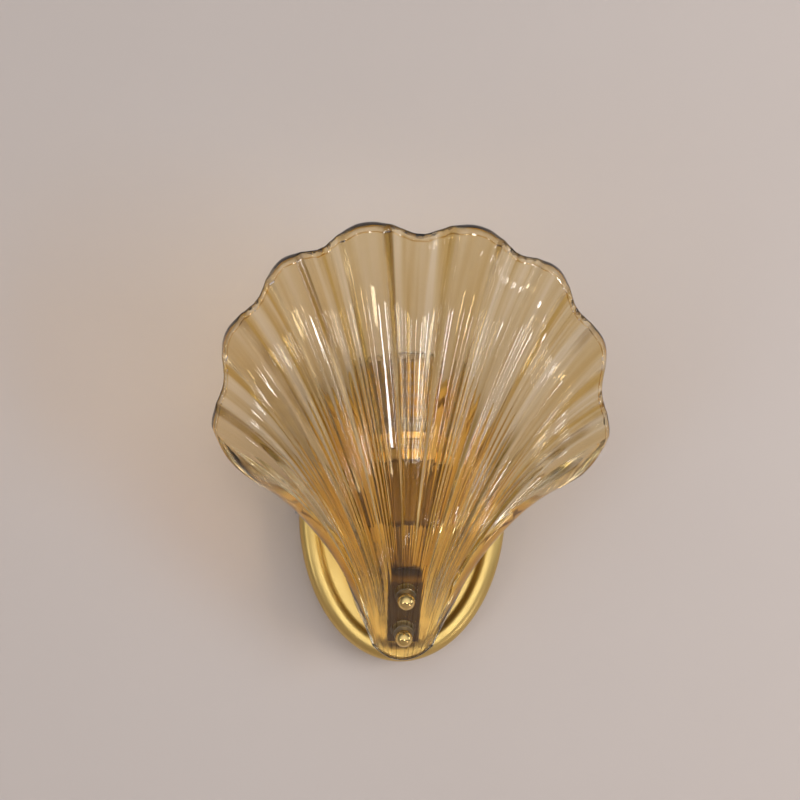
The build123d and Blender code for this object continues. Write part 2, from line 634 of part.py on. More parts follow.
def lamp_chips():
    """Light-emitting chips: rows on each side of the core and a ring on its top."""
    chips = []
    normals = [f for f in lamp_core().faces() if abs(f.normal_at().Z) < 0.1 and f.area > CORE_HEIGHT * CORE_WALL * 2]
    middle = Vector(0, -STEM_DEPTH, COLLAR_TOP_Z + CORE_HEIGHT / 2)
    for face in normals:
        out = face.normal_at()
        if (face.center() - middle).dot(out) < 0:
            continue
        for row in range(CHIP_ROWS):
            shift = (row - (CHIP_ROWS - 1) / 2) * CHIP_ROW_PITCH
            seat = Plane(face.center() + Vector(0, 0, shift), x_dir=(0, 0, 1), z_dir=out)
            chips.append(extrude(seat * Rectangle(CHIP_LENGTH, CHIP_WIDTH), CHIP_THICK))
    top = level(COLLAR_TOP_Z + CORE_HEIGHT)
    for spot in PolarLocations(TOP_CHIP_CIRCLE_R, TOP_CHIPS):
        chips.append(extrude(top * spot * Rectangle(CHIP_LENGTH, CHIP_WIDTH), CHIP_THICK))
    return group(chips)


def lamp_cover():
    """Clear cover with a slightly domed top, standing on the collar."""
    outside = extrude(level(COLLAR_TOP_Z) * Circle(LAMP_R), COVER_HEIGHT)
    outside = fillet(outside.edges().sort_by(Axis.Z)[-1], COVER_ROUND)
    inside = extrude(level(COLLAR_TOP_Z) * Circle(LAMP_R - COVER_WALL), COVER_HEIGHT - COVER_WALL)
    inside = fillet(inside.edges().sort_by(Axis.Z)[-1], COVER_ROUND - COVER_WALL)
    foot = disc(level(COLLAR_TOP_Z - 0.0), LAMP_R, COVER_WALL, CORE_ACROSS / 2 + 2.5)
    return outside - inside + foot


# ---------------------------------------------------------------- glass fixings
def back_washers():
    return group(disc(seat, BACK_WASHER_R, BACK_WASHER_H, WASHER_HOLE_R) for seat in screw_planes())


def front_washers():
    seats = screw_planes(BACK_WASHER_H + GLASS_THICK)
    return group(disc(seat, FRONT_WASHER_R, FRONT_WASHER_H, WASHER_HOLE_R) for seat in seats)


def ball_seat_height():
    return BACK_WASHER_H + GLASS_THICK + FRONT_WASHER_H


def ball_nuts():
    """Polished ball nuts with a flat foot and a blind threaded bore."""
    nuts = []
    for seat in screw_planes(ball_seat_height()):
        ball = seat.offset(BALL_SEAT) * Sphere(BALL_R)
        ball -= extrude(seat * Circle(2 * BALL_R), -2 * BALL_R)
        nuts.append(ball - extrude(seat * Circle(M4_TAPPED_R), BALL_BORE_DEPTH))
    return group(nuts)


def shade_screws():
    """Screws from behind the flap, through the washers and the glass, into the ball nuts."""
    length = ARM_THICK + ball_seat_height() + BALL_BORE_DEPTH - SCREW_SHORT_OF_BORE
    screws = []
    for seat in screw_planes(-ARM_THICK):
        behind = Plane(seat.origin, x_dir=seat.x_dir, z_dir=-seat.z_dir)
        screws.append(slotted_screw(behind, length))
    return group(screws)


# ---------------------------------------------------------------- glass shade
def through_stations(x, stations, values):
    """Smooth curve through a few stations, straight on beyond the last."""
    xs = np.asarray(stations, float)
    ys = np.asarray(values, float)
    step = np.diff(xs)
    slope = np.diff(ys) / step
    tangent = np.concatenate([slope[:1], (slope[:-1] * step[1:] + slope[1:] * step[:-1]) / (step[1:] + step[:-1]),
                              slope[-1:]])
    i = np.clip(np.searchsorted(xs, x, side="right") - 1, 0, len(step) - 1)
    t = (x - xs[i]) / step[i]
    return ((2 * t**3 - 3 * t**2 + 1) * ys[i] + (t**3 - 2 * t**2 + t) * step[i] * tangent[i]
            + (3 * t**2 - 2 * t**3) * ys[i + 1] + (t**3 - t**2) * step[i] * tangent[i + 1])


def ease(x, low, high):
    """0 up to low, 1 from high on, smooth between."""
    t = np.clip((x - low) / (high - low), 0.0, 1.0)
    return t * t * (3 - 2 * t)


def unit(vectors):
    return vectors / np.linalg.norm(vectors, axis=-1, keepdims=True)


def between(pair, share):
    return pair[0] + (pair[1] - pair[0]) * share


def heading(angle, lean):
    """Direction at an angle from straight up, seen from the front, leaning out of the wall."""
    return np.stack([np.sin(angle) * np.cos(lean), -np.sin(lean), np.cos(angle) * np.cos(lean)], -1)


def from_crest(k):
    """Distance to the nearest lobe's crest, in pitches: 0 on it, 0.5 in mid valley."""
    x = (np.abs(k) + 0.5) % 1.0
    return np.minimum(x, 1 - x)


def lobe(k):
    """Rise of a lobe: a flat crown with steep sides, 1 on its crest and 0 on the valley's floor."""
    x = from_crest(np.minimum(np.abs(k), LAST_CREST))
    return ease(LOBE_HALF - x, 0.0, LOBE_SIDE) * (1 - LOBE_CROWN * (x / LOBE_HALF) ** 2)


def fine_rib(k):
    """Fine ribs on a valley's floor."""
    s = (0.5 - from_crest(k)) / (0.5 - LOBE_HALF + LOBE_SIDE / 4)
    wave = 0.5 - 0.5 * np.cos(np.pi * FINE_RIBS * s)
    return np.where((s < 1) & (np.abs(k) < LAST_CREST), wave, 0.0)


def pad_depth(x, z):
    """Outer face of the neck: flat in the middle, falling back at its sides."""
    side = np.clip(x - PAD_FLAT_HALF, 0.0, None)
    return NECK_BOTTOM_DEPTH + (z - NECK_BOTTOM_Z) * math.tan(TILT) - side**2 / (2 * PAD_SIDE_RADIUS)


def rim_point(k):
    """Front edge of the rim at rib k, and its angle about the fan's centre."""
    angle = np.radians(through_stations(k, CREST_NUMBERS, CREST_ANGLES))
    crest = 0.5 - 0.5 * np.cos(2 * np.pi * k)
    drop = VALLEY_DROP + (CENTRE_VALLEY_DROP - VALLEY_DROP) * np.exp(-((k / CENTRE_VALLEY_REACH) ** 2))
    radius = through_stations(k, CREST_NUMBERS, CREST_RADII) - RIM_BAND - drop * (1 - crest)
    depth = through_stations(k, CREST_NUMBERS, RIM_DEPTHS)
    return np.stack([radius * np.sin(angle), -depth, FAN_CENTRE_Z + radius * np.cos(angle)], -1), angle


def rib_point(k, u):
    """Smooth shell without lobes, from the centre line to the last crest."""
    share = k / LAST_CREST
    x_low = NECK_BOTTOM_HALF * share
    z_low = NECK_BOTTOM_Z + x_low**2 / NECK_BOTTOM_CURVE
    x_top = PAD_TOP_HALF * share
    z_top = np.full_like(share, PAD_TOP_Z)
    low = np.stack([x_low, -pad_depth(x_low, z_low), z_low], -1)
    top = np.stack([x_top, -pad_depth(x_top, z_top), z_top], -1)
    rim, angle = rim_point(k)
    leave = heading(np.radians(between(LEAVE_ANGLE, share)), np.radians(between(LEAVE_LEAN, share**2)))
    first = top + between(LEAVE_REACH, share)[..., None] * leave
    arrive = heading(angle * ARRIVE_TURN, np.radians(between(ARRIVE_FLARE, share)))
    second = rim - between(ARRIVE_REACH, share)[..., None] * arrive
    t = np.clip((u - PAD_SHARE) / (1 - PAD_SHARE), 0.0, 1.0)[..., None]
    upper = (1 - t)**3 * top + 3 * (1 - t)**2 * t * first + 3 * (1 - t) * t**2 * second + t**3 * rim
    v = np.clip(u / PAD_SHARE, 0.0, 1.0)[..., None]
    bend = 0.5 * (top - NECK_EASE * (first - top)) + 0.25 * (low + top)
    lower = (1 - v)**2 * low + 2 * (1 - v) * v * bend + v**2 * top
    return np.where((u < PAD_SHARE)[..., None], lower, upper)


def half_shell(k, u):
    """Smooth shell from the centre line to the side edge, with its side wall turned back."""
    beyond = np.clip((k - LAST_CREST) / (SIDE_EDGE - LAST_CREST), 0.0, 1.0)
    way = u * (1 - RIM_FALLS_BACK * beyond**1.6)
    crest = np.full_like(k, LAST_CREST)
    point = rib_point(np.minimum(k, LAST_CREST), way)
    across = unit(rib_point(crest, way) - rib_point(crest - SMALL / 2, way))
    ahead = np.clip(way + SMALL / 2, SMALL / 2, 1.0)
    along = rib_point(crest, ahead) - rib_point(crest, ahead - SMALL / 2)
    out = unit(np.cross(along, across))
    out = np.where(out[..., 1:2] > 0, -out, out)
    half = between((SIDE_HALF_LOBE_NECK, SIDE_HALF_LOBE_RIM), ease(way, 0.15, 1.0))
    radius = half / 0.66
    turn = math.radians(SIDE_TURN) * between((0.35, 1.0), ease(way, 0.0, 0.22))
    angle = turn * np.clip(beyond / SIDE_ARC_SHARE, 0.0, 1.0)
    straight = SIDE_WALL * between((0.2, 1.0), ease(way, 0.0, 0.3))
    straight = straight * np.clip((beyond - SIDE_ARC_SHARE) / (1 - SIDE_ARC_SHARE), 0.0, 1.0)
    sideways = radius * np.sin(angle) + straight * np.cos(turn)
    backwards = radius * (1 - np.cos(angle)) + straight * np.sin(turn)
    return point + sideways[..., None] * across - backwards[..., None] * out


def shell(k, u):
    """Smooth shell on both sides of the centre line."""
    point = half_shell(np.abs(k), u)
    point[..., 0] *= np.where(k < 0, -1.0, 1.0)
    return point


def out_of(surface, k, u):
    """Unit normal of a surface, towards the room."""
    k_high = np.clip(k + SMALL, -SIDE_EDGE, SIDE_EDGE)
    k_low = np.clip(k - SMALL, -SIDE_EDGE, SIDE_EDGE)
    across = surface(k_high, u) - surface(k_low, u)
    along = surface(k, np.clip(u + SMALL, 0, 1)) - surface(k, np.clip(u - SMALL, 0, 1))
    normal = unit(np.cross(along, across))
    return -normal if normal[..., 1].mean() > 0 else normal


def ribs_fade(k, u):
    """0 on the neck's smooth pad, 1 where lobes and ribs stand fully."""
    start = between((RIBS_START_CENTRE, RIBS_START_SIDE), ease(np.abs(k), PAD_EDGE_RIB, PAD_EDGE_RIB + 0.8))
    return ease(u, start, start + RIBS_FADE)


def lobed_shell(k, u):
    rise = between((LOBE_RISE_NECK, LOBE_RISE_RIM), ease(u, 0.1, 1.0)) * ribs_fade(k, u)
    return shell(k, u) + (rise * lobe(k))[..., None] * out_of(shell, k, u)


def outer_face_point(k, u):
    rise = between((FINE_RISE_NECK, FINE_RISE_RIM), ease(u, 0.1, 1.0)) * ribs_fade(k, u)
    return lobed_shell(k, u) + (rise * fine_rib(k))[..., None] * out_of(lobed_shell, k, u)


def inner_face_point(k, u):
    """Smooth inner face: the lobes are solid glass."""
    return shell(k, u) - GLASS_THICK * out_of(shell, k, u)


def rib_stations():
    """Values of k across the shade, from one side edge to the other."""
    core = np.linspace(-LAST_CREST, LAST_CREST, 7 * STEPS_PER_PITCH + 1)
    side = np.linspace(LAST_CREST, SIDE_EDGE, SIDE_STEPS + 1)[1:]
    return np.concatenate([-side[::-1], core, side])


def rows_across(surface):
    """Curves across the shade on one of its faces, from the neck's end to the rim."""
    stations = rib_stations()
    rows = []
    for u in np.linspace(0.0, 1.0, RIB_STEPS + 1):
        points = surface(stations, np.full_like(stations, u))
        corners = [Vector(*(float(c) for c in point)) for point in points]
        rows.append(Edge.make_spline(corners, parameters=[float(k) for k in stations]))
    return rows


def glass_shade():
    """Strips between neighbouring curves of both faces, closed round the four edges."""
    outer = rows_across(outer_face_point)
    inner = rows_across(inner_face_point)
    strips = [Face.make_surface_from_curves(outer[0], inner[0]), Face.make_surface_from_curves(outer[-1], inner[-1])]
    for rows in (outer, inner):
        strips += [Face.make_surface_from_curves(low, high) for low, high in zip(rows, rows[1:])]
    for end in (0, 1):
        for i in range(RIB_STEPS):
            out_edge = Edge.make_line(outer[i] @ end, outer[i + 1] @ end)
            in_edge = Edge.make_line(inner[i] @ end, inner[i + 1] @ end)
            strips.append(Face.make_surface_from_curves(out_edge, in_edge))
    glass = Solid(Shell(strips))
    for seat in screw_planes():
        glass -= extrude(seat * Circle(GLASS_HOLE_R), 2 * (BACK_WASHER_H + GLASS_THICK))
        glass -= extrude(seat * Circle(BACK_WASHER_R + SEAT_MARGIN), BACK_WASHER_H)
        front_seat = seat.offset(BACK_WASHER_H + GLASS_THICK)
        glass -= extrude(front_seat * Circle(FRONT_WASHER_R + SEAT_MARGIN), GLASS_THICK)
    return glass


PIECES = {
    "backplate": backplate,
    "wall_crossbar": wall_crossbar,
    "side_screws": side_screws,
    "terminal_block": terminal_block,
    "terminal_clamps": terminal_clamps,
    "terminal_screws": terminal_screws,
    "block_screw": block_screw,
    "earth_screw": earth_screw,
    "earth_wire": earth_wire,
    "supply_wires": supply_wires,
    "plate_grommet": plate_grommet,
    "lamp_cable": lamp_cable,
    "cup_grommet": cup_grommet,
    "holder_wires": holder_wires,
    "arm_strip": arm_strip,
    "arm_screws": arm_screws,
    "arm_nuts": arm_nuts,
    "stem_nipple": stem_nipple,
    "stem_sleeve": stem_sleeve,
    "stem_nuts": stem_nuts,
    "socket_cup": socket_cup,
    "holder_body": holder_body,
    "screw_shell": screw_shell,
    "centre_contact": centre_contact,
    "lamp_tip": lamp_tip,
    "lamp_insulator": lamp_insulator,
    "lamp_cap": lamp_cap,
    "lamp_collar": lamp_collar,
    "lamp_core": lamp_core,
    "lamp_chips": lamp_chips,
    "lamp_cover": lamp_cover,
    "glass_shade": glass_shade,
    "back_washers": back_washers,
    "front_washers": front_washers,
    "shade_screws": shade_screws,
    "ball_nuts": ball_nuts,
}

os.makedirs("parts", exist_ok=True)
for node, make in PIECES.items():
    export_step(make(), f"parts/{node}.step")
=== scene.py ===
# Shell wall sconce: pressed amber glass on a satin brass wall light, seen straight on.
# Sizes below are in millimetres, with the same names as in the part's source; meshes are in metres.
# A "depth" is a distance from the wall, so y = -depth.
import json
import math

import bmesh
import bpy
import numpy as np
from mathutils import Matrix, Vector


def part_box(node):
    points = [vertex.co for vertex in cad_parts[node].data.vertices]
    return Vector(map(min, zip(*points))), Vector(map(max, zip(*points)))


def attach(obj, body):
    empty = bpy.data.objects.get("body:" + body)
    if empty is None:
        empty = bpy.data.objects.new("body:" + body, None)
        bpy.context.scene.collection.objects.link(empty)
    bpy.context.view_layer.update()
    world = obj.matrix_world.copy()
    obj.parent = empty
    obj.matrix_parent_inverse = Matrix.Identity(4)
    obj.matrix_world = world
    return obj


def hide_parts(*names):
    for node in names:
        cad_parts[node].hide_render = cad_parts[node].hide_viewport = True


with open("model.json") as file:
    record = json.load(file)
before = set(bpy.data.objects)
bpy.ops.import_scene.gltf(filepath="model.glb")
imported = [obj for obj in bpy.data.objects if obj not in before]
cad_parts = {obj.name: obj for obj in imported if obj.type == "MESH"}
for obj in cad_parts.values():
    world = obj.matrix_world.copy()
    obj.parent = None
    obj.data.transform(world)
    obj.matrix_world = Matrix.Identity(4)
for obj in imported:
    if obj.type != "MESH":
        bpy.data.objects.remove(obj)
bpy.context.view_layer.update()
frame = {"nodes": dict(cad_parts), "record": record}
scene = bpy.context.scene
MM = 0.001

# ---------------------------------------------------------------- sizes of the metal parts
PLATE_WIDTH = 130.0
PLATE_HEIGHT = 190.0
PLATE_DEPTH = 20.0
PLATE_WALL = 1.5
BEAD_WIDTH = 12.0
RECESS_DEPTH = 5.0
BEAD_OUTER_ROUND = 6.5
BEAD_INNER_ROUND = 2.9
RECESS_FLOOR_ROUND = 2.0
ARM_WIDTH = 20.0
ARM_THICK = 3.0
ARM_BEND = 3.5
SHELF_TOP_Z = -31.0
FLANGE_LENGTH = 33.0
SHADE_SCREW_SPACING = 27.7
SHADE_SCREW_MID_Z = -57.4
STRIP_BELOW_SCREW = 9.4
STEM_DEPTH = 48.0
STEM_HEIGHT = 26.0
SLEEVE_R = 6.5
NIPPLE_R = 5.0
CUP_R = 19.5
CUP_HEIGHT = 40.0
CUP_WALL = 0.8
CUP_BOTTOM_ROUND = 4.0
CUP_LIP_R = 0.9
BACK_WASHER_R = 7.0
BACK_WASHER_H = 1.5
FRONT_WASHER_R = 6.2
FRONT_WASHER_H = 1.0
WASHER_HOLE_R = 2.3
GLASS_HOLE_R = 2.9
SEAT_MARGIN = 0.4
BALL_R = 5.3
BALL_SEAT = 4.2
THREAD_PITCH = 3.62
THREAD_ROOT_R = 12.35
THREAD_RIDGE_R = 0.8
LAMP_R = 19.5
COVER_WALL = 1.0
COVER_ROUND = 7.0
CORE_ACROSS = 28.0
CORE_GAP = 2.5               # from the core to the cover's foot

# ---------------------------------------------------------------- glass shade
# The shade is a half trumpet that opens upwards. A point of it is found by a rib number k,
# 0 on the centre line, 0.5, 1.5, 2.5 and 3.5 on the lobes' crests and 4 on the cut side edge,
# and by a way u along the rib, 0 at the end of the neck and 1 at the rim.
GLASS_THICK = 5.0
FAN_CENTRE_Z = 52.0
CREST_NUMBERS = (0.0, 0.5, 1.5, 2.5, 3.5)
CREST_ANGLES = (0.0, 16.5, 39.8, 63.8, 90.3)         # from straight up, about the fan's centre
FIRST_CREST_R = 127.1
SECOND_CREST_R = 129.1
THIRD_CREST_R = 127.0
LAST_CREST_R = 121.3
CREST_RADII = (FIRST_CREST_R, FIRST_CREST_R, SECOND_CREST_R, THIRD_CREST_R, LAST_CREST_R)
# how far the rim's valley floors stand out from the stem's axis
MIDDLE_REACH = 76.0
FIRST_REACH = 75.0
SECOND_REACH = 67.0
THIRD_REACH = 53.0
LAST_REACH = 33.0
RIM_REACHES = (MIDDLE_REACH, FIRST_REACH, SECOND_REACH, THIRD_REACH, LAST_REACH)
RIM_DEPTHS = tuple(STEM_DEPTH + reach for reach in RIM_REACHES)
VALLEY_DROP = 6.9            # of the rim, below the crests beside it
CENTRE_VALLEY_DROP = 11.1
CENTRE_VALLEY_REACH = 0.35
RIM_BAND = 2.5               # the rim's front edge lies this far inside its back edge
LAST_CREST = 3.5
SIDE_EDGE = 4.0

NECK_BOTTOM_Z = -91.5
NECK_BEHIND_STEM = 8.0
NECK_BOTTOM_DEPTH = STEM_DEPTH - NECK_BEHIND_STEM
NECK_BOTTOM_HALF = 16.5
NECK_BOTTOM_CURVE = 36.0     # twice the radius of the neck's rounded end
NECK_TILT = 30.0             # the neck leans out by this much at its top
PAD_TOP_Z = -38.0
PAD_TOP_HALF = 31.5
PAD_FLAT_HALF = 12.0
PAD_SIDE_RADIUS = 35.0
PAD_SHARE = 0.25             # share of u that lies on the neck
NECK_EASE = 0.25

# how the ribs leave the neck and reach the rim: centre rib first, last crest second
LEAVE_ANGLE = (0.0, 26.0)
MIDDLE_LEAVES = 60.0
SIDE_LEAVES = 54.0
LEAVE_REACH = (MIDDLE_LEAVES, SIDE_LEAVES)
LEAVE_LEAN = (NECK_TILT, 18.0)
ARRIVE_TURN = 0.70           # share of the rim's own angle
MIDDLE_ARRIVES = 70.0
SIDE_ARRIVES = 46.0
ARRIVE_REACH = (MIDDLE_ARRIVES, SIDE_ARRIVES)
ARRIVE_FLARE = (28.0, 22.0)

SIDE_HALF_LOBE_RIM = 15.0
SIDE_HALF_LOBE_NECK = 4.0
SIDE_TURN = 72.0             # the side wall turns back by this angle
SIDE_WALL = 9.0              # straight stretch behind that turn
SIDE_ARC_SHARE = 0.75
RIM_FALLS_BACK = 0.42        # share of the last rib that the rim gives up at the side edge

LOBE_HALF = 0.27             # of the pitch between two crests
LOBE_SIDE = 0.10             # of the pitch, taken by each steep side of a lobe
LOBE_CROWN = 0.22            # share of its rise that a lobe loses from its crest to its sides
LOBE_RISE_RIM = 6.0
LOBE_RISE_NECK = 1.6
FINE_RIBS = 4                # in each valley
FINE_RISE_RIM = 1.0
FINE_RISE_NECK = 0.45
RIBS_START_CENTRE = 0.26     # the smooth pad ends here, on the centre line
RIBS_START_SIDE = 0.08
RIBS_FADE = 0.16
PAD_EDGE_RIB = 1.0           # ribs outside this one run further down the neck
SMALL = 2e-3

# ---------------------------------------------------------------- only in the scene
EDGE_ROUND = 2.0             # of the glass's edges at its neck and sides
RIM_ROUND = 4.0
NECK_RUN = 310.0             # u from 0 to 1, at a rib's pace by the neck
RIM_RUN = 280.0              # and by the rim
SIDE_RUN = 72.0              # k from 3.5 to 4.5, at the side wall's pace by the rim
SIDE_RUN_NECK = 0.2          # share of it by the neck
# the mould's ripples: how many in a pitch, share of the height, how far they wander, where they start
RIPPLES = ((6.3, 0.5, 0.9, 1.0), (9.7, 0.3, 1.3, 2.4), (3.4, 0.4, 0.5, 4.0))
RIPPLE_BENDS = 3.0           # of a ripple's wander along a rib
RIPPLE_RIM = 0.45
RIPPLE_NECK = 0.22
PLATE_EDGE_ROUND = 0.3
FLAT_RIM = 4.0               # of the plate's flat centre that is drawn with its border
STRIP_EDGE_ROUND = 0.4
HOLE_TOOL_FOOT = 0.2         # above the strip, where the tools that cut the glass start
SEAT_TOOL_FOOT = 0.1
WASHER_FOOT_ROUND = 0.25     # of the clear washers in front
WASHER_TOP_ROUND = 0.35
WASHER_HOLE_ROUND = 0.1
SOFT_EDGE_ROUND = 0.5        # of the soft washers behind
SOFT_HOLE_ROUND = 0.2
SLEEVE_GAP = 0.2
SLEEVE_EDGE_ROUND = 0.3
BALL_FOOT_BEVEL = 0.3
NEAR_AXIS = 0.02             # turned outlines stop this far from their axis
LIP_BELOW_TOP = 2.2          # the cup's wall ends this many lip radii below its top
THREAD_BELOW = 1.0           # plain stretch of the cap below its thread
THREAD_ABOVE = 2.5
THREAD_RUNS_IN = 2.5
THREAD_RUNS_OUT = 2.0
CAP_WALL = 0.6
COVER_DOME = 1.2             # rise of the cover's top
COVER_TIP_R = 0.05
COVER_FOOT_ROUND = 0.3
COVER_LIP_ROUND = 0.1
COVER_INNER_ROUND = 0.2
GLASS_SHARP = 60.0           # degrees from which an edge of the glass is drawn sharp

# ---------------------------------------------------------------- how fine the meshes are
STEPS_PER_PITCH = 56         # across the shade, from crest to crest
SIDE_STEPS = 10
RIB_STEPS = 92               # along a rib
EDGE_STEPS = 6               # round each edge of the glass
TURNED_STEPS = 96            # round turned pieces
ARC_STEPS = 7                # in each rounded corner
PLUG_STEPS = 48              # round the tools that cut the glass
BALL_STEPS = 28
LIP_STEPS = 16
CAP_ROWS = 150
FLAT_RINGS = 8               # in the plate's flat centre

TILT = math.radians(NECK_TILT)
FLAT_DEPTH = PLATE_DEPTH - RECESS_DEPTH


# ---------------------------------------------------------------- the shade's surface
def through_stations(x, stations, values):
    """Smooth curve through a few stations, straight on beyond the last."""
    xs = np.asarray(stations, float)
    ys = np.asarray(values, float)
    step = np.diff(xs)
    slope = np.diff(ys) / step
    inner = (slope[:-1] * step[1:] + slope[1:] * step[:-1]) / (step[1:] + step[:-1])
    tangent = np.concatenate([slope[:1], inner, slope[-1:]])
    i = np.clip(np.searchsorted(xs, x, side="right") - 1, 0, len(step) - 1)
    t = (x - xs[i]) / step[i]
    return ((2 * t**3 - 3 * t**2 + 1) * ys[i] + (t**3 - 2 * t**2 + t) * step[i] * tangent[i]
            + (3 * t**2 - 2 * t**3) * ys[i + 1] + (t**3 - t**2) * step[i] * tangent[i + 1])


def ease(x, low, high):
    """0 up to low, 1 from high on, smooth between."""
    t = np.clip((x - low) / (high - low), 0.0, 1.0)
    return t * t * (3 - 2 * t)


def unit(vectors):
    return vectors / np.linalg.norm(vectors, axis=-1, keepdims=True)


def between(pair, share):
    return pair[0] + (pair[1] - pair[0]) * share


def heading(angle, lean):
    """Direction at an angle from straight up, seen from the front, leaning out of the wall."""
    return np.stack([np.sin(angle) * np.cos(lean), -np.sin(lean), np.cos(angle) * np.cos(lean)], -1)


def from_crest(k):
    """Distance to the nearest lobe's crest, in pitches: 0 on it, 0.5 in mid valley."""
    x = (np.abs(k) + 0.5) % 1.0
    return np.minimum(x, 1 - x)


def lobe(k):
    """Rise of a lobe: a flat crown with steep sides, 1 on its crest and 0 on the valley's floor."""
    x = from_crest(np.minimum(np.abs(k), LAST_CREST))
    return ease(LOBE_HALF - x, 0.0, LOBE_SIDE) * (1 - LOBE_CROWN * (x / LOBE_HALF) ** 2)


def fine_rib(k):
    """Fine ribs on a valley's floor."""
    s = (0.5 - from_crest(k)) / (0.5 - LOBE_HALF + LOBE_SIDE / 4)
    wave = 0.5 - 0.5 * np.cos(np.pi * FINE_RIBS * s)
    return np.where((s < 1) & (np.abs(k) < LAST_CREST), wave, 0.0)


def pad_depth(x, z):
    """Outer face of the neck: flat in the middle, falling back at its sides."""
    side = np.clip(x - PAD_FLAT_HALF, 0.0, None)
    return NECK_BOTTOM_DEPTH + (z - NECK_BOTTOM_Z) * math.tan(TILT) - side**2 / (2 * PAD_SIDE_RADIUS)


def rim_point(k):
    """Front edge of the rim at rib k, and its angle about the fan's centre."""
    angle = np.radians(through_stations(k, CREST_NUMBERS, CREST_ANGLES))
    crest = 0.5 - 0.5 * np.cos(2 * np.pi * k)
    drop = VALLEY_DROP + (CENTRE_VALLEY_DROP - VALLEY_DROP) * np.exp(-((k / CENTRE_VALLEY_REACH) ** 2))
    radius = through_stations(k, CREST_NUMBERS, CREST_RADII) - RIM_BAND - drop * (1 - crest)
    depth = through_stations(k, CREST_NUMBERS, RIM_DEPTHS)
    return np.stack([radius * np.sin(angle), -depth, FAN_CENTRE_Z + radius * np.cos(angle)], -1), angle


def rib_point(k, u):
    """Smooth shell without lobes, from the centre line to the last crest."""
    share = k / LAST_CREST
    x_low = NECK_BOTTOM_HALF * share
    z_low = NECK_BOTTOM_Z + x_low**2 / NECK_BOTTOM_CURVE
    x_top = PAD_TOP_HALF * share
    z_top = np.full_like(share, PAD_TOP_Z)
    low = np.stack([x_low, -pad_depth(x_low, z_low), z_low], -1)
    top = np.stack([x_top, -pad_depth(x_top, z_top), z_top], -1)
    rim, angle = rim_point(k)
    leave = heading(np.radians(between(LEAVE_ANGLE, share)), np.radians(between(LEAVE_LEAN, share**2)))
    first = top + between(LEAVE_REACH, share)[..., None] * leave
    arrive = heading(angle * ARRIVE_TURN, np.radians(between(ARRIVE_FLARE, share)))
    second = rim - between(ARRIVE_REACH, share)[..., None] * arrive
    t = np.clip((u - PAD_SHARE) / (1 - PAD_SHARE), 0.0, 1.0)[..., None]
    upper = (1 - t)**3 * top + 3 * (1 - t)**2 * t * first + 3 * (1 - t) * t**2 * second + t**3 * rim
    v = np.clip(u / PAD_SHARE, 0.0, 1.0)[..., None]
    bend = 0.5 * (top - NECK_EASE * (first - top)) + 0.25 * (low + top)
    lower = (1 - v)**2 * low + 2 * (1 - v) * v * bend + v**2 * top
    return np.where((u < PAD_SHARE)[..., None], lower, upper)


def half_shell(k, u):
    """Smooth shell from the centre line to the side edge, with its side wall turned back."""
    beyond = np.clip((k - LAST_CREST) / (SIDE_EDGE - LAST_CREST), 0.0, 1.0)
    way = u * (1 - RIM_FALLS_BACK * beyond**1.6)
    crest = np.full_like(k, LAST_CREST)
    point = rib_point(np.minimum(k, LAST_CREST), way)
    across = unit(rib_point(crest, way) - rib_point(crest - SMALL / 2, way))
    ahead = np.clip(way + SMALL / 2, SMALL / 2, 1.0)
    along = rib_point(crest, ahead) - rib_point(crest, ahead - SMALL / 2)
    out = unit(np.cross(along, across))
    out = np.where(out[..., 1:2] > 0, -out, out)
    half = between((SIDE_HALF_LOBE_NECK, SIDE_HALF_LOBE_RIM), ease(way, 0.15, 1.0))
    radius = half / 0.66
    turn = math.radians(SIDE_TURN) * between((0.35, 1.0), ease(way, 0.0, 0.22))
    angle = turn * np.clip(beyond / SIDE_ARC_SHARE, 0.0, 1.0)
    straight = SIDE_WALL * between((0.2, 1.0), ease(way, 0.0, 0.3))
    straight = straight * np.clip((beyond - SIDE_ARC_SHARE) / (1 - SIDE_ARC_SHARE), 0.0, 1.0)
    sideways = radius * np.sin(angle) + straight * np.cos(turn)
    backwards = radius * (1 - np.cos(angle)) + straight * np.sin(turn)
    return point + sideways[..., None] * across - backwards[..., None] * out


def shell(k, u):
    """Smooth shell on both sides of the centre line."""
    point = half_shell(np.abs(k), u)
    point[..., 0] *= np.where(k < 0, -1.0, 1.0)
    return point


def out_of(surface, k, u):
    """Unit normal of a surface, towards the room."""
    k_high = np.clip(k + SMALL, -SIDE_EDGE, SIDE_EDGE)
    k_low = np.clip(k - SMALL, -SIDE_EDGE, SIDE_EDGE)
    across = surface(k_high, u) - surface(k_low, u)
    along = surface(k, np.clip(u + SMALL, 0, 1)) - surface(k, np.clip(u - SMALL, 0, 1))
    normal = unit(np.cross(along, across))
    return -normal if normal[..., 1].mean() > 0 else normal


def ribs_fade(k, u):
    """0 on the neck's smooth pad, 1 where lobes and ribs stand fully."""
    start = between((RIBS_START_CENTRE, RIBS_START_SIDE), ease(np.abs(k), PAD_EDGE_RIB, PAD_EDGE_RIB + 0.8))
    return ease(u, start, start + RIBS_FADE)


def lobed_shell(k, u):
    rise = between((LOBE_RISE_NECK, LOBE_RISE_RIM), ease(u, 0.1, 1.0)) * ribs_fade(k, u)
    return shell(k, u) + (rise * lobe(k))[..., None] * out_of(shell, k, u)


def outer_face_point(k, u):
    rise = between((FINE_RISE_NECK, FINE_RISE_RIM), ease(u, 0.1, 1.0)) * ribs_fade(k, u)
    return lobed_shell(k, u) + (rise * fine_rib(k))[..., None] * out_of(lobed_shell, k, u)


def inner_face_point(k, u):
    """Smooth inner face: the lobes are solid glass."""
    return shell(k, u) - GLASS_THICK * out_of(shell, k, u)


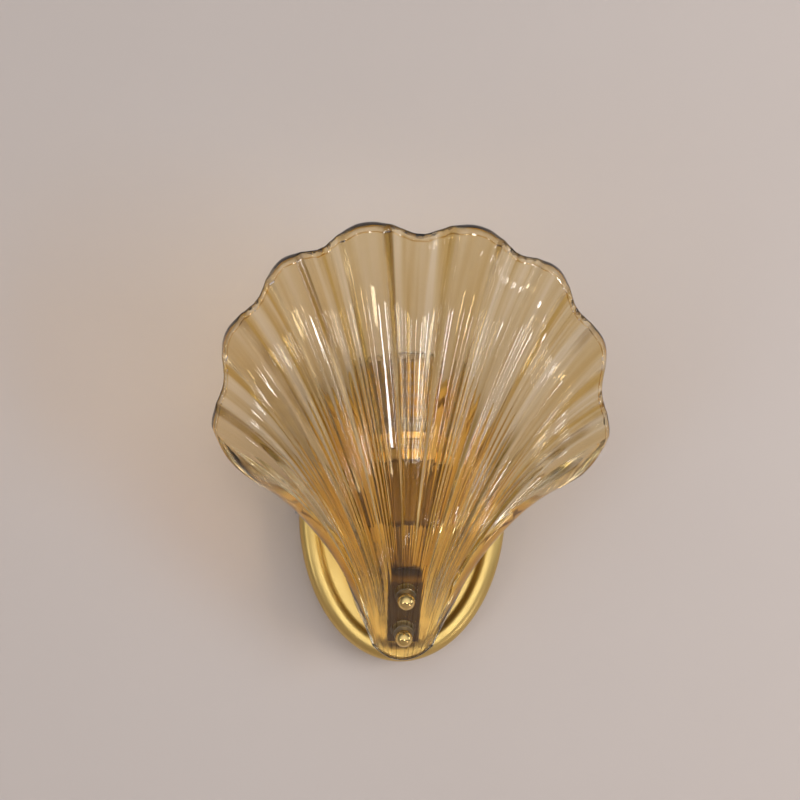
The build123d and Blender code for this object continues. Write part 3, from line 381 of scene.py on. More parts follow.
# ---------------------------------------------------------------- meshes
def add_piece(name, verts, faces, paint, node, angle=35.0):
    """A mesh piece in millimetres that stands for a node, rides on its body and takes the paint it is given.
    """
    mesh = bpy.data.meshes.new(name)
    mesh.from_pydata((np.asarray(verts) * MM).tolist(), [], faces)
    mesh.validate()
    work = bmesh.new()
    work.from_mesh(mesh)
    bmesh.ops.recalc_face_normals(work, faces=work.faces)
    work.to_mesh(mesh)
    work.free()
    mesh.materials.append(paint)
    mesh.shade_smooth()
    mesh.set_sharp_from_angle(angle=math.radians(angle))
    piece = bpy.data.objects.new(name, mesh)
    scene.collection.objects.link(piece)
    bodies = frame["record"]["behaviour"]["bodies"]
    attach(piece, next(body for body, nodes in bodies.items() if node in nodes))
    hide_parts(node)
    return piece


def grid_faces(rows, columns, close_rows=False, close_columns=False, start=0):
    """Quads over a grid of vertices stored row by row."""
    faces = []
    for i in range(rows if close_rows else rows - 1):
        for j in range(columns if close_columns else columns - 1):
            a, b = i, (i + 1) % rows
            c, d = j, (j + 1) % columns
            faces.append([start + a * columns + c, start + b * columns + c, start + b * columns + d,
                          start + a * columns + d])
    return faces


def rounded(corners):
    """Outline through corners of (x, y, radius), each corner with its arc."""
    points = []
    count = len(corners)
    for i, (x, y, radius) in enumerate(corners):
        here = np.array([x, y])
        back = np.array(corners[i - 1][:2]) - here
        ahead = np.array(corners[(i + 1) % count][:2]) - here
        if not radius:
            points.append(here)
            continue
        back, ahead = back / np.linalg.norm(back), ahead / np.linalg.norm(ahead)
        half = math.acos(np.clip(back @ ahead, -1, 1)) / 2
        reach = radius / math.tan(half)
        centre = here + (back + ahead) / np.linalg.norm(back + ahead) * radius / math.sin(half)
        first, last = here + back * reach - centre, here + ahead * reach - centre
        sweep = math.pi - 2 * half
        side = np.sign(first[0] * last[1] - first[1] * last[0])
        for step in range(ARC_STEPS + 1):
            a = side * sweep * step / ARC_STEPS
            points.append(centre + np.array([first[0] * math.cos(a) - first[1] * math.sin(a),
                                             first[0] * math.sin(a) + first[1] * math.cos(a)]))
    return np.array(points)


def full_turn(steps):
    """Even angles once round."""
    return np.arange(steps) * 2 * math.pi / steps


def spun(outline, steps, axes):
    """Rings of points of (radius, height) about the third of some axes."""
    verts = np.array([[r * math.cos(a), r * math.sin(a), h] for r, h in outline for a in full_turn(steps)])
    matrix = np.array(axes)
    return verts @ matrix[:3, :3].T + matrix[:3, 3]


def turned(outline, axes):
    """Vertices and faces of a closed outline turned about its axis."""
    return spun(outline, TURNED_STEPS, axes), grid_faces(len(outline), TURNED_STEPS, True, True)


def plug(radius, low, high, axes):
    """Closed round tool between two heights."""
    count = PLUG_STEPS
    sides = [[i, (i + 1) % count, count + (i + 1) % count, count + i] for i in range(count)]
    ends = [list(range(count - 1, -1, -1)), list(range(count, 2 * count))]
    return spun(((radius, low), (radius, high)), count, axes), sides + ends


def upright():
    """Axes of the stem, with heights counted from the frame's origin."""
    return Matrix.Translation((0, -STEM_DEPTH, 0))


def flap_axes(along, height):
    """Axes square to the arm's flap: a way along it from its middle and a height above its front."""
    out = Vector((0, -math.cos(TILT), -math.sin(TILT)))
    up = Vector((0, -math.sin(TILT), math.cos(TILT)))
    gap = (GLASS_THICK + BACK_WASHER_H) / math.cos(TILT)
    depth = NECK_BOTTOM_DEPTH + (SHADE_SCREW_MID_Z - NECK_BOTTOM_Z) * math.tan(TILT) - gap
    origin = Vector((0, -depth, SHADE_SCREW_MID_Z)) + up * along + out * height
    return Matrix.Translation(origin) @ Matrix((Vector((1, 0, 0)), up, out)).transposed().to_4x4()


SCREW_WAYS = (-SHADE_SCREW_SPACING / 2, SHADE_SCREW_SPACING / 2)


def together(parts):
    """Joins (vertices, faces) lists into one."""
    verts, faces = [], []
    for v, f in parts:
        shift = sum(len(x) for x in verts)
        verts.append(np.asarray(v))
        faces += [[i + shift for i in face] for face in f]
    return np.vstack(verts), faces


# ---------------------------------------------------------------- materials
RIB_MAP = "ribs"
STREAKS_ACROSS = 52.0        # over the whole fan
STREAKS_ALONG = 0.9
FINE_ACROSS = 3.1            # times the broad streaks'
FINE_ALONG = 2.0
FINE_SHARE = 0.12            # of the fine streaks in the waves' height
SHADE_LINES_ACROSS = 14.0          # breaks in the painted shade lines beside the lobes
SHADE_LINES_ALONG = 3.0
WAVE_STRENGTH = 0.3
WAVE_HEIGHT = 0.0016         # in metres
NECK_TONE = (0.32, 0.20)     # paler up to this u, by this much at the neck
LOW_PAINTED_SHADE = (0.75, -0.09)     # deeper up to this u: painted shade on the lower glass


def new_paint(name):
    paint = bpy.data.materials.new(name)
    paint.use_nodes = True
    return paint, paint.node_tree, paint.node_tree.nodes["Principled BSDF"]


def noise(tree, scale, detail=3.0):
    """Noise in the object's own metres, finer with scale."""
    where = tree.nodes.new("ShaderNodeTexCoord")
    texture = tree.nodes.new("ShaderNodeTexNoise")
    texture.inputs["Scale"].default_value = scale
    texture.inputs["Detail"].default_value = detail
    tree.links.new(where.outputs["Object"], texture.inputs["Vector"])
    return texture.outputs["Fac"]


def ramp(tree, factor, low, high, start=0.3, end=0.7):
    """From one colour or number to another."""
    node = tree.nodes.new("ShaderNodeValToRGB")
    for stop, (place, value) in zip(node.color_ramp.elements, ((start, low), (end, high))):
        stop.position = place
        stop.color = (*value, 1) if isinstance(value, tuple) else (value, value, value, 1)
    tree.links.new(factor, node.inputs["Fac"])
    return node.outputs["Color"]


def bump(tree, shader, height, strength, distance):
    node = tree.nodes.new("ShaderNodeBump")
    node.inputs["Strength"].default_value = strength
    node.inputs["Distance"].default_value = distance
    tree.links.new(height, node.inputs["Height"])
    tree.links.new(node.outputs["Normal"], shader.inputs["Normal"])


def metal(name, dark, light, rough, grain=900.0, grain_depth=0.00002):
    """Metal with patches of tone, uneven gloss and a fine grain."""
    paint, tree, shader = new_paint(name)
    shader.inputs["Metallic"].default_value = 1.0
    tree.links.new(ramp(tree, noise(tree, 25.0, 4.0), dark, light), shader.inputs["Base Color"])
    tree.links.new(ramp(tree, noise(tree, 60.0, 5.0), rough[0], rough[1]), shader.inputs["Roughness"])
    bump(tree, shader, noise(tree, grain, 4.0), 0.35, grain_depth)
    return paint


def plastic(name, dark, light, rough, grain=400.0):
    """Moulded plastic, rubber or glaze with slight mottling."""
    paint, tree, shader = new_paint(name)
    tree.links.new(ramp(tree, noise(tree, 120.0, 4.0), dark, light), shader.inputs["Base Color"])
    tree.links.new(ramp(tree, noise(tree, 90.0), rough[0], rough[1]), shader.inputs["Roughness"])
    bump(tree, shader, noise(tree, grain), 0.3, 0.00003)
    return paint


def see_through_where(tree, shader, share, colour=(1, 1, 1)):
    """Surface that lets light straight through, in a colour, where a share is 1."""
    through = tree.nodes.new("ShaderNodeBsdfTransparent")
    through.inputs["Color"].default_value = (*colour, 1)
    mix = tree.nodes.new("ShaderNodeMixShader")
    tree.links.new(share, mix.inputs["Fac"])
    tree.links.new(shader.outputs["BSDF"], mix.inputs[1])
    tree.links.new(through.outputs["BSDF"], mix.inputs[2])
    tree.links.new(mix.outputs["Shader"], tree.nodes["Material Output"].inputs["Surface"])


def tint_shadow(tree, shader, colour):
    """Shadows of clear pieces are tinted, not black."""
    path = tree.nodes.new("ShaderNodeLightPath")
    see_through_where(tree, shader, path.outputs["Is Shadow Ray"], colour)


def clear(name, dark, light, rough, ior, shadow):
    """Clear plastic or rubber."""
    paint, tree, shader = new_paint(name)
    shader.inputs["Transmission Weight"].default_value = 1.0
    shader.inputs["Roughness"].default_value = rough
    shader.inputs["IOR"].default_value = ior
    tree.links.new(ramp(tree, noise(tree, 9.0, 2.0), dark, light), shader.inputs["Base Color"])
    tint_shadow(tree, shader, shadow)
    return paint


def math_node(tree, kind, first, second=0.0, third=0.0):
    """Result of a sum, product or the like of numbers and sockets."""
    node = tree.nodes.new("ShaderNodeMath")
    node.operation = kind
    for socket, value in zip(node.inputs, (first, second, third)):
        if isinstance(value, (int, float)):
            socket.default_value = value
        else:
            tree.links.new(value, socket)
    return node.outputs["Value"]


def rib_map(tree):
    """Place on the shade: across it from side to side, and along its ribs."""
    where = tree.nodes.new("ShaderNodeUVMap")
    where.uv_map = RIB_MAP
    return where.outputs["UV"]


def split(tree, vector):
    """A vector's X, Y and Z."""
    parts = tree.nodes.new("ShaderNodeSeparateXYZ")
    tree.links.new(vector, parts.inputs["Vector"])
    return parts.outputs


def along_ribs(tree, across, along):
    """Streaks that follow the ribs: fine across them, long along them."""
    mapping = tree.nodes.new("ShaderNodeMapping")
    mapping.inputs["Scale"].default_value = (across, along, 1)
    texture = tree.nodes.new("ShaderNodeTexNoise")
    texture.inputs["Scale"].default_value = 1.0
    texture.inputs["Detail"].default_value = 2.0
    tree.links.new(rib_map(tree), mapping.inputs["Vector"])
    tree.links.new(mapping.outputs["Vector"], texture.inputs["Vector"])
    return texture.outputs["Fac"]


def crest_distance(tree):
    """Distance to the nearest lobe's crest, in pitches, as from_crest gives it."""
    rib = math_node(tree, "MULTIPLY_ADD", split(tree, rib_map(tree))["X"], 2 * SIDE_EDGE, -SIDE_EDGE)
    return math_node(tree, "ABSOLUTE", math_node(tree, "SUBTRACT", math_node(tree, "FRACT", rib), 0.5))


def smooth_range(tree, value, start, end, least=0.0, most=1.0):
    """Least up to a start, most from an end on, smooth between."""
    node = tree.nodes.new("ShaderNodeMapRange")
    node.interpolation_type = "SMOOTHSTEP"
    for name, number in zip(("From Min", "From Max", "To Min", "To Max"), (start, end, least, most)):
        node.inputs[name].default_value = number
    tree.links.new(value, node.inputs["Value"])
    return node.outputs["Result"]


def pressed_glass(name, pale, deep, dark, shadow):
    """Amber pressed glass: streaks of tone and slight waves run along its ribs, most in the valleys; painted
    shade deepens its lower part and lays broken dark lines on the lobes' steep sides.
    """
    paint, tree, shader = new_paint(name)
    shader.inputs["Transmission Weight"].default_value = 1.0
    shader.inputs["Roughness"].default_value = 0.01
    shader.inputs["IOR"].default_value = 1.52
    shader.inputs["Coat Weight"].default_value = 0.3
    shader.inputs["Coat Roughness"].default_value = 0.02
    shader.inputs["Coat IOR"].default_value = 1.6
    distance = crest_distance(tree)
    valley = smooth_range(tree, distance, LOBE_HALF - LOBE_SIDE, LOBE_HALF)
    broad = along_ribs(tree, STREAKS_ACROSS, STREAKS_ALONG)
    fine = along_ribs(tree, FINE_ACROSS * STREAKS_ACROSS, FINE_ALONG * STREAKS_ALONG)
    depth = math_node(tree, "MULTIPLY_ADD", valley, 0.5, 0.5)
    height = math_node(tree, "MULTIPLY", math_node(tree, "MULTIPLY_ADD", fine, FINE_SHARE, broad), depth)
    strength = math_node(tree, "MULTIPLY_ADD", math_node(tree, "SUBTRACT", broad, 0.5), depth, 0.5)
    way = split(tree, rib_map(tree))["Y"]
    # the neck is drawn paler, and the lower glass deeper as painted shade
    for end, share in (NECK_TONE, LOW_PAINTED_SHADE):
        strength = math_node(tree, "ADD", strength, smooth_range(tree, way, 0.05, end, share, 0.0))
    tone = ramp(tree, strength, deep, pale, 0.38, 0.62)
    # painted shade: broken dark lines on the lobes' steep sides
    off_side = math_node(tree, "ABSOLUTE", math_node(tree, "SUBTRACT", distance, LOBE_HALF - LOBE_SIDE / 2))
    shade_line = smooth_range(tree, off_side, LOBE_SIDE / 2, LOBE_SIDE / 8)
    shade_line_breaks = smooth_range(tree, along_ribs(tree, SHADE_LINES_ACROSS, SHADE_LINES_ALONG), 0.38, 0.60)
    mix = tree.nodes.new("ShaderNodeMix")
    mix.data_type = "RGBA"
    tree.links.new(math_node(tree, "MULTIPLY", shade_line, shade_line_breaks), mix.inputs["Factor"])
    tree.links.new(tone, mix.inputs["A"])
    mix.inputs["B"].default_value = (*dark, 1)
    tree.links.new(mix.outputs["Result"], shader.inputs["Base Color"])
    bump(tree, shader, height, WAVE_STRENGTH, WAVE_HEIGHT)
    tint_shadow(tree, shader, shadow)
    return paint


PAINTS = {
    # pale and deep tones of the glass, and the dark tone of its painted shade lines beside the lobes
    "amber_glass": pressed_glass("amber_glass", (1.0, 0.92, 0.72), (0.74, 0.53, 0.17), (0.30, 0.17, 0.02),
                                 (0.92, 0.81, 0.65)),
    "clear_cover": clear("clear_cover", (0.88, 0.85, 0.80), (0.95, 0.93, 0.90), 0.12, 1.35, (0.9, 0.9, 0.9)),
    "clear_silicone": clear("clear_silicone", (0.85, 0.80, 0.70), (0.9, 0.86, 0.78), 0.3, 1.4,
                            (0.8, 0.78, 0.74)),
    "satin_brass": metal("satin_brass", (0.68, 0.48, 0.16), (0.76, 0.55, 0.20), (0.30, 0.38), 1500.0),
    # the brass of the cup and stem, painted far darker than the plate's: painted shade inside the glass
    "cup_brass": metal("cup_brass", (0.18, 0.11, 0.025), (0.25, 0.16, 0.04), (0.25, 0.35), 1500.0),
    # the brass of the arm, painted far darker than the plate's: painted shade behind the glass
    "dark_brass": metal("dark_brass", (0.10, 0.055, 0.012), (0.15, 0.09, 0.02), (0.28, 0.38), 1500.0),
    "polished_brass": metal("polished_brass", (0.78, 0.55, 0.20), (0.86, 0.64, 0.28), (0.05, 0.10),
                            300.0, 0.000005),
    "thread_brass": metal("thread_brass", (0.66, 0.46, 0.16), (0.80, 0.60, 0.26), (0.15, 0.28), 800.0),
    "zinc_steel": metal("zinc_steel", (0.50, 0.50, 0.51), (0.64, 0.64, 0.63), (0.25, 0.42), 700.0),
    # the lamp's white plastic, painted dark brown: painted shade inside the glass
    "white_plastic": plastic("white_plastic", (0.24, 0.20, 0.15), (0.33, 0.28, 0.22), (0.35, 0.5)),
    "porcelain": plastic("porcelain", (0.70, 0.67, 0.60), (0.80, 0.77, 0.70), (0.12, 0.22)),
    "black_insulator": plastic("black_insulator", (0.01, 0.01, 0.01), (0.03, 0.03, 0.03), (0.1, 0.2)),
    # the chips' yellow, painted deeper than its own: painted shade inside the glass
    "led_chips": plastic("led_chips", (0.50, 0.27, 0.02), (0.62, 0.45, 0.04), (0.15, 0.3), 1500.0),
    "black_rubber": plastic("black_rubber", (0.16, 0.11, 0.05), (0.22, 0.16, 0.08), (0.5, 0.7)),
    "cable_sheath": plastic("cable_sheath", (0.55, 0.42, 0.20), (0.66, 0.52, 0.27), (0.3, 0.45)),
    "wire_insulation": plastic("wire_insulation", (0.22, 0.10, 0.04), (0.30, 0.15, 0.07), (0.3, 0.45)),
    "earth_insulation": plastic("earth_insulation", (0.20, 0.40, 0.04), (0.65, 0.62, 0.05), (0.3, 0.45),
                                60.0),
}

for part in frame["record"]["subparts"]:
    node = frame["nodes"][part["node"]]
    if not node.material_slots:
        node.data.materials.append(PAINTS[part["material_slot"]])
    for holder in node.material_slots:
        holder.material = PAINTS[part["material_slot"]]


# ---------------------------------------------------------------- glass shade
def towards_edge(low, high, width_low, width_high):
    """Stations close together at both ends, where the glass's edges are rounded."""
    turn = np.linspace(0, math.pi / 2, EDGE_STEPS + 1)
    return low + width_low * (1 - np.cos(turn)), high - width_high * (1 - np.cos(turn[::-1]))


def edge_share(distance, width):
    """Share of the half thickness left at a distance from an edge."""
    short = np.clip(1 - distance / width, 0.0, 1.0)
    return np.sqrt(np.clip(1 - short * short, 0.0, 1.0))


def ripple(k, u):
    """Uneven ripples left by the mould; they run along the ribs and fade on the neck's pad."""
    height = np.zeros_like(k)
    for count, share, drift, start in RIPPLES:
        height += share * np.sin(2 * math.pi * count * k + drift * np.sin(RIPPLE_BENDS * u + start) + start)
    return height * between((RIPPLE_NECK, RIPPLE_RIM), ease(u, 0.1, 0.9)) * ribs_fade(k, u)


def shade_mesh():
    """Both faces of the glass, drawn together into a rounded edge all the way round."""
    neck_width, rim_width = EDGE_ROUND / NECK_RUN, RIM_ROUND / RIM_RUN
    first, last = towards_edge(0.0, 1.0, neck_width, rim_width)
    us = np.concatenate([first, np.linspace(0, 1, RIB_STEPS + 1)[1:-1], last])
    side_width = EDGE_ROUND / SIDE_RUN / between((SIDE_RUN_NECK, 1.0), ease(us, 0.0, 0.3))
    turn = np.linspace(0, math.pi / 2, EDGE_STEPS + 1)[None, :]
    edge = SIDE_EDGE - side_width[:, None] * (1 - np.cos(turn))
    inside = np.linspace(1, 0, SIDE_STEPS + 1)[None, 1:]
    side = LAST_CREST + (edge[:, -1:] - LAST_CREST) * inside
    core_steps = int(2 * LAST_CREST) * STEPS_PER_PITCH
    core = np.linspace(-LAST_CREST, LAST_CREST, core_steps + 1)[None, 1:-1].repeat(len(us), 0)
    right = np.concatenate([edge, side], 1)[:, ::-1]
    k = np.concatenate([-right[:, ::-1], core, right], 1)
    u = us[:, None].repeat(k.shape[1], 1)
    outer, inner = outer_face_point(k, u), inner_face_point(k, u)
    outer = outer + ripple(k, u)[..., None] * unit(outer - inner)
    share = edge_share(SIDE_EDGE - np.abs(k), side_width[:, None])
    share = share * edge_share(u, neck_width) * edge_share(1 - u, rim_width)
    middle = (outer + inner) / 2
    faces = [middle + (face - middle) * share[..., None] for face in (outer, inner)]
    rows, columns = k.shape
    count = rows * columns
    index = np.arange(count).reshape(rows, columns)
    back = index + count
    back[0], back[-1], back[:, 0], back[:, -1] = index[0], index[-1], index[:, 0], index[:, -1]
    quads = []
    for net, flip in ((index, False), (back, True)):
        q = np.stack([net[:-1, :-1], net[1:, :-1], net[1:, 1:], net[:-1, 1:]], -1).reshape(-1, 4)
        quads += (q[:, ::-1] if flip else q).tolist()
    places = np.stack([(k + SIDE_EDGE) / (2 * SIDE_EDGE), u], -1).reshape(-1, 2)
    return np.concatenate([f.reshape(-1, 3) for f in faces]), quads, np.concatenate([places, places])


def cut(piece, tools):
    """Takes closed tool meshes out of a piece and deletes them."""
    for verts, faces in tools:
        mesh = bpy.data.meshes.new("cutter")
        mesh.from_pydata((np.asarray(verts) * MM).tolist(), [], faces)
        tool = bpy.data.objects.new("cutter", mesh)
        scene.collection.objects.link(tool)
        step = piece.modifiers.new("cut", "BOOLEAN")
        step.operation, step.solver, step.object = "DIFFERENCE", "MANIFOLD", tool
        with bpy.context.temp_override(object=piece, active_object=piece):
            bpy.ops.object.modifier_apply(modifier=step.name)
        bpy.data.objects.remove(tool)
        bpy.data.meshes.remove(mesh)


def make_shade():
    """The glass with its rib map, its two screw holes and the seats of their washers."""
    verts, faces, places = shade_mesh()
    shade = add_piece("scallop_shade", verts, faces, PAINTS["amber_glass"], "glass_shade", GLASS_SHARP)
    corners = np.empty(len(shade.data.loops), np.int32)
    shade.data.loops.foreach_get("vertex_index", corners)
    shade.data.uv_layers.new(name=RIB_MAP).data.foreach_set("uv", places[corners].ravel())
    front = BACK_WASHER_H + GLASS_THICK
    tools = []
    for way in SCREW_WAYS:
        axes = flap_axes(way, 0.0)
        tools += [plug(GLASS_HOLE_R, HOLE_TOOL_FOOT, 2 * front, axes),
                  plug(BACK_WASHER_R + SEAT_MARGIN, SEAT_TOOL_FOOT, BACK_WASHER_H, axes),
                  plug(FRONT_WASHER_R + SEAT_MARGIN, front, front + 3 * FRONT_WASHER_H, axes)]
    cut(shade, tools)
    shade.data.shade_smooth()
    shade.data.set_sharp_from_angle(angle=math.radians(GLASS_SHARP))


make_shade()


# ---------------------------------------------------------------- backplate
def make_plate():
    """Sheet of the oval dish, swept round its ellipse, with its flat centre closed."""
    foot = BEAD_WIDTH + FLAT_RIM
    inner_width = BEAD_WIDTH - PLATE_WALL
    inner_depth = PLATE_DEPTH - PLATE_WALL
    flat_back = FLAT_DEPTH - PLATE_WALL
    front = rounded([
        (0, 0, PLATE_EDGE_ROUND),
        (0, PLATE_DEPTH, BEAD_OUTER_ROUND),
        (BEAD_WIDTH, PLATE_DEPTH, BEAD_INNER_ROUND),
        (BEAD_WIDTH, FLAT_DEPTH, RECESS_FLOOR_ROUND),
        (foot, FLAT_DEPTH, 0),
        (foot, flat_back, 0),
        (inner_width, flat_back, RECESS_FLOOR_ROUND + PLATE_WALL),
        (inner_width, inner_depth, BEAD_INNER_ROUND - PLATE_WALL),
        (PLATE_WALL, inner_depth, BEAD_OUTER_ROUND - PLATE_WALL),
        (PLATE_WALL, 0, PLATE_EDGE_ROUND),
    ])
    steps = 2 * TURNED_STEPS

    def oval(inset, depth, share=1.0):
        half_wide, half_high = share * (PLATE_WIDTH / 2 - inset), share * (PLATE_HEIGHT / 2 - inset)
        return [[half_wide * math.cos(a), -depth, half_high * math.sin(a)] for a in full_turn(steps)]

    verts = [point for t, d in front for point in oval(t, d)]
    inner = [i for i, (t, d) in enumerate(front) if t == foot]
    faces = [f for f in grid_faces(len(front), steps, True, True)
             if not {i // steps for i in f} <= set(inner)]
    for row in inner:
        start = len(verts)
        t, d = front[row]
        for ring in range(1, FLAT_RINGS):
            verts += oval(t, d, 1 - ring / FLAT_RINGS)
        verts.append([0, -d, 0])
        faces += grid_faces(FLAT_RINGS - 1, steps, False, True, start)
        faces += [[row * steps + j, row * steps + (j + 1) % steps, start + (j + 1) % steps, start + j]
                  for j in range(steps)]
        edge = start + (FLAT_RINGS - 2) * steps
        faces += [[edge + j, edge + (j + 1) % steps, len(verts) - 1] for j in range(steps)]
    add_piece("oval_backplate", verts, faces, PAINTS["satin_brass"], "backplate", 50.0)


make_plate()


# ---------------------------------------------------------------- arm strip
def make_arm():
    """Rounded bar section carried along the strip's bent route."""
    flap = flap_axes(0.0, -ARM_THICK / 2)
    up = Vector((0, -math.sin(TILT), math.cos(TILT)))
    origin = flap.to_translation()
    shelf = SHELF_TOP_Z - ARM_THICK / 2
    flange = FLAT_DEPTH + ARM_THICK / 2
    corner = origin + up * ((shelf - origin.z) / up.z)
    end = origin - up * (SHADE_SCREW_SPACING / 2 + STRIP_BELOW_SCREW)
    bend = ARM_BEND + ARM_THICK / 2
    route = rounded([(flange, SHELF_TOP_Z - FLANGE_LENGTH, 0), (flange, shelf, bend),
                     (-corner.y, corner.z, bend), (-end.y, end.z, 0)])
    ahead = np.gradient(route, axis=0)
    ahead /= np.linalg.norm(ahead, axis=1, keepdims=True)
    across = np.stack([-ahead[:, 1], ahead[:, 0]], 1)
    half_w, half_t = ARM_WIDTH / 2, ARM_THICK / 2
    section = rounded([(-half_w, -half_t, STRIP_EDGE_ROUND), (half_w, -half_t, STRIP_EDGE_ROUND),
                       (half_w, half_t, STRIP_EDGE_ROUND), (-half_w, half_t, STRIP_EDGE_ROUND)])
    verts = [[x, -(p[0] + n[0] * t), p[1] + n[1] * t] for p, n in zip(route, across) for x, t in section]
    faces = grid_faces(len(route), len(section), False, True)
    faces += [list(range(len(section))), [len(verts) - 1 - i for i in range(len(section))]]
    add_piece("bent_arm", verts, faces, PAINTS["dark_brass"], "arm_strip", 30.0)


make_arm()


# ---------------------------------------------------------------- nuts and washers on the glass
def ball_outline():
    """Ball with a flat foot, from its seat up."""
    foot = math.sqrt(BALL_R**2 - BALL_SEAT**2)
    start = math.asin(-BALL_SEAT / BALL_R)
    ball = [(BALL_R * math.cos(a), BALL_SEAT + BALL_R * math.sin(a))
            for a in np.linspace(start, math.pi / 2 - NEAR_AXIS, BALL_STEPS)]
    return [(NEAR_AXIS, 0.0), (foot - BALL_FOOT_BEVEL, 0.0)] + ball


def make_fixings():
    """Ball nuts, and the washers on both sides of the glass."""
    seat = BACK_WASHER_H + GLASS_THICK + FRONT_WASHER_H
    balls = [turned(ball_outline(), flap_axes(way, seat)) for way in SCREW_WAYS]
    add_piece("ball_nut_pair", *together(balls), PAINTS["polished_brass"], "ball_nuts", 40.0)
    washer = rounded([(WASHER_HOLE_R, 0, WASHER_HOLE_ROUND), (FRONT_WASHER_R, 0, WASHER_FOOT_ROUND),
                      (FRONT_WASHER_R, FRONT_WASHER_H, WASHER_TOP_ROUND),
                      (WASHER_HOLE_R, FRONT_WASHER_H, WASHER_HOLE_ROUND)])
    rings = [turned(washer, flap_axes(way, seat - FRONT_WASHER_H)) for way in SCREW_WAYS]
    add_piece("front_washer_pair", *together(rings), PAINTS["clear_silicone"], "front_washers", 40.0)
    soft = rounded([(WASHER_HOLE_R, 0, SOFT_HOLE_ROUND), (BACK_WASHER_R, 0, SOFT_EDGE_ROUND),
                    (BACK_WASHER_R, BACK_WASHER_H, SOFT_EDGE_ROUND),
                    (WASHER_HOLE_R, BACK_WASHER_H, SOFT_HOLE_ROUND)])
    pads = [turned(soft, flap_axes(way, 0.0)) for way in SCREW_WAYS]
    add_piece("back_washer_pair", *together(pads), PAINTS["clear_silicone"], "back_washers", 40.0)


make_fixings()


# ---------------------------------------------------------------- cup and stem
def make_cup():
    """Thin cup with a rolled lip, and the sleeve under it."""
    bottom = SHELF_TOP_Z + STEM_HEIGHT
    top = bottom + CUP_HEIGHT
    wall_top = top - LIP_BELOW_TOP * CUP_LIP_R
    middle = CUP_R - CUP_WALL / 2
    lip = [(middle + CUP_LIP_R * math.cos(a), top - CUP_LIP_R + CUP_LIP_R * math.sin(a))
           for a in np.radians(np.linspace(-60, 240, LIP_STEPS))]
    outside = rounded([(NIPPLE_R, bottom, 0), (CUP_R, bottom, CUP_BOTTOM_ROUND), (CUP_R, wall_top, 0),
                       (0, top, 0)])[:-1]
    inside = rounded([(CUP_R - CUP_WALL, wall_top, 0),
                      (CUP_R - CUP_WALL, bottom + CUP_WALL, CUP_BOTTOM_ROUND - CUP_WALL),
                      (NIPPLE_R, bottom + CUP_WALL, 0), (0, top, 0)])[:-1]
    outline = list(map(tuple, outside)) + lip + list(map(tuple, inside))
    add_piece("holder_cup", *turned(outline, upright()), PAINTS["cup_brass"], "socket_cup", 50.0)
    bore = NIPPLE_R + SLEEVE_GAP
    sleeve = rounded([(bore, SHELF_TOP_Z, 0), (SLEEVE_R, SHELF_TOP_Z, SLEEVE_EDGE_ROUND),
                      (SLEEVE_R, bottom, SLEEVE_EDGE_ROUND), (bore, bottom, 0)])
    add_piece("stem_tube", *turned(sleeve, upright()), PAINTS["cup_brass"], "stem_sleeve", 50.0)


make_cup()


# ---------------------------------------------------------------- lamp
def node_heights(node):
    """Lowest and highest point of a node, in millimetres."""
    low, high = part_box(node)
    return low[2] / MM, high[2] / MM


def make_cap():
    """Cap rolled to its right-hand thread."""
    low, high = node_heights("lamp_cap")
    rows = np.linspace(low, high, CAP_ROWS)
    height, angle = np.meshgrid(rows, full_turn(TURNED_STEPS), indexing="ij")
    runs_in = np.clip((height - low - THREAD_BELOW) / THREAD_RUNS_IN, 0, 1)
    runs_out = np.clip((high - height - THREAD_ABOVE) / THREAD_RUNS_OUT, 0, 1)
    wave = 0.5 + 0.5 * np.cos(2 * math.pi * (height / THREAD_PITCH) - angle)

    def skin(radius, angle, height):
        x, y = radius * np.cos(angle), radius * np.sin(angle) - STEM_DEPTH
        return np.stack([x, y, height], -1).reshape(-1, 3)

    outer = skin(THREAD_ROOT_R + THREAD_RIDGE_R * wave * (runs_in * runs_out), angle, height)
    inner = skin(THREAD_ROOT_R - CAP_WALL, angle[[-1, 0]], height[[-1, 0]])
    faces = grid_faces(len(rows) + 2, TURNED_STEPS, True, True)
    add_piece("thread_cap", np.vstack([outer, inner]), faces, PAINTS["thread_brass"], "lamp_cap", 50.0)


def make_cover():
    """Clear cover with a slightly domed top, open at its foot."""
    low, high = node_heights("lamp_cover")
    foot = CORE_ACROSS / 2 + CORE_GAP
    shoulder = high - COVER_DOME
    inner_r = LAMP_R - COVER_WALL
    outline = rounded([
        (COVER_TIP_R, high, 0),
        (LAMP_R, shoulder, COVER_ROUND),
        (LAMP_R, low, COVER_FOOT_ROUND),
        (foot, low, COVER_LIP_ROUND),
        (foot, low + COVER_WALL, COVER_LIP_ROUND),
        (inner_r, low + COVER_WALL, COVER_INNER_ROUND),
        (inner_r, shoulder - COVER_WALL, COVER_ROUND - COVER_WALL),
        (COVER_TIP_R, high - COVER_WALL, 0),
    ])
    add_piece("lamp_dome", *turned(outline, upright()), PAINTS["clear_cover"], "lamp_cover", 40.0)


make_cap()
make_cover()


# ---------------------------------------------------------------- room
WALL_GAP = 0.0004            # metres behind the light's back
ROOM_HALF = 2.2
FLOOR_Z = -0.8
WALL_DARK = (0.585, 0.525, 0.495)
WALL_LIGHT = (0.615, 0.555, 0.525)


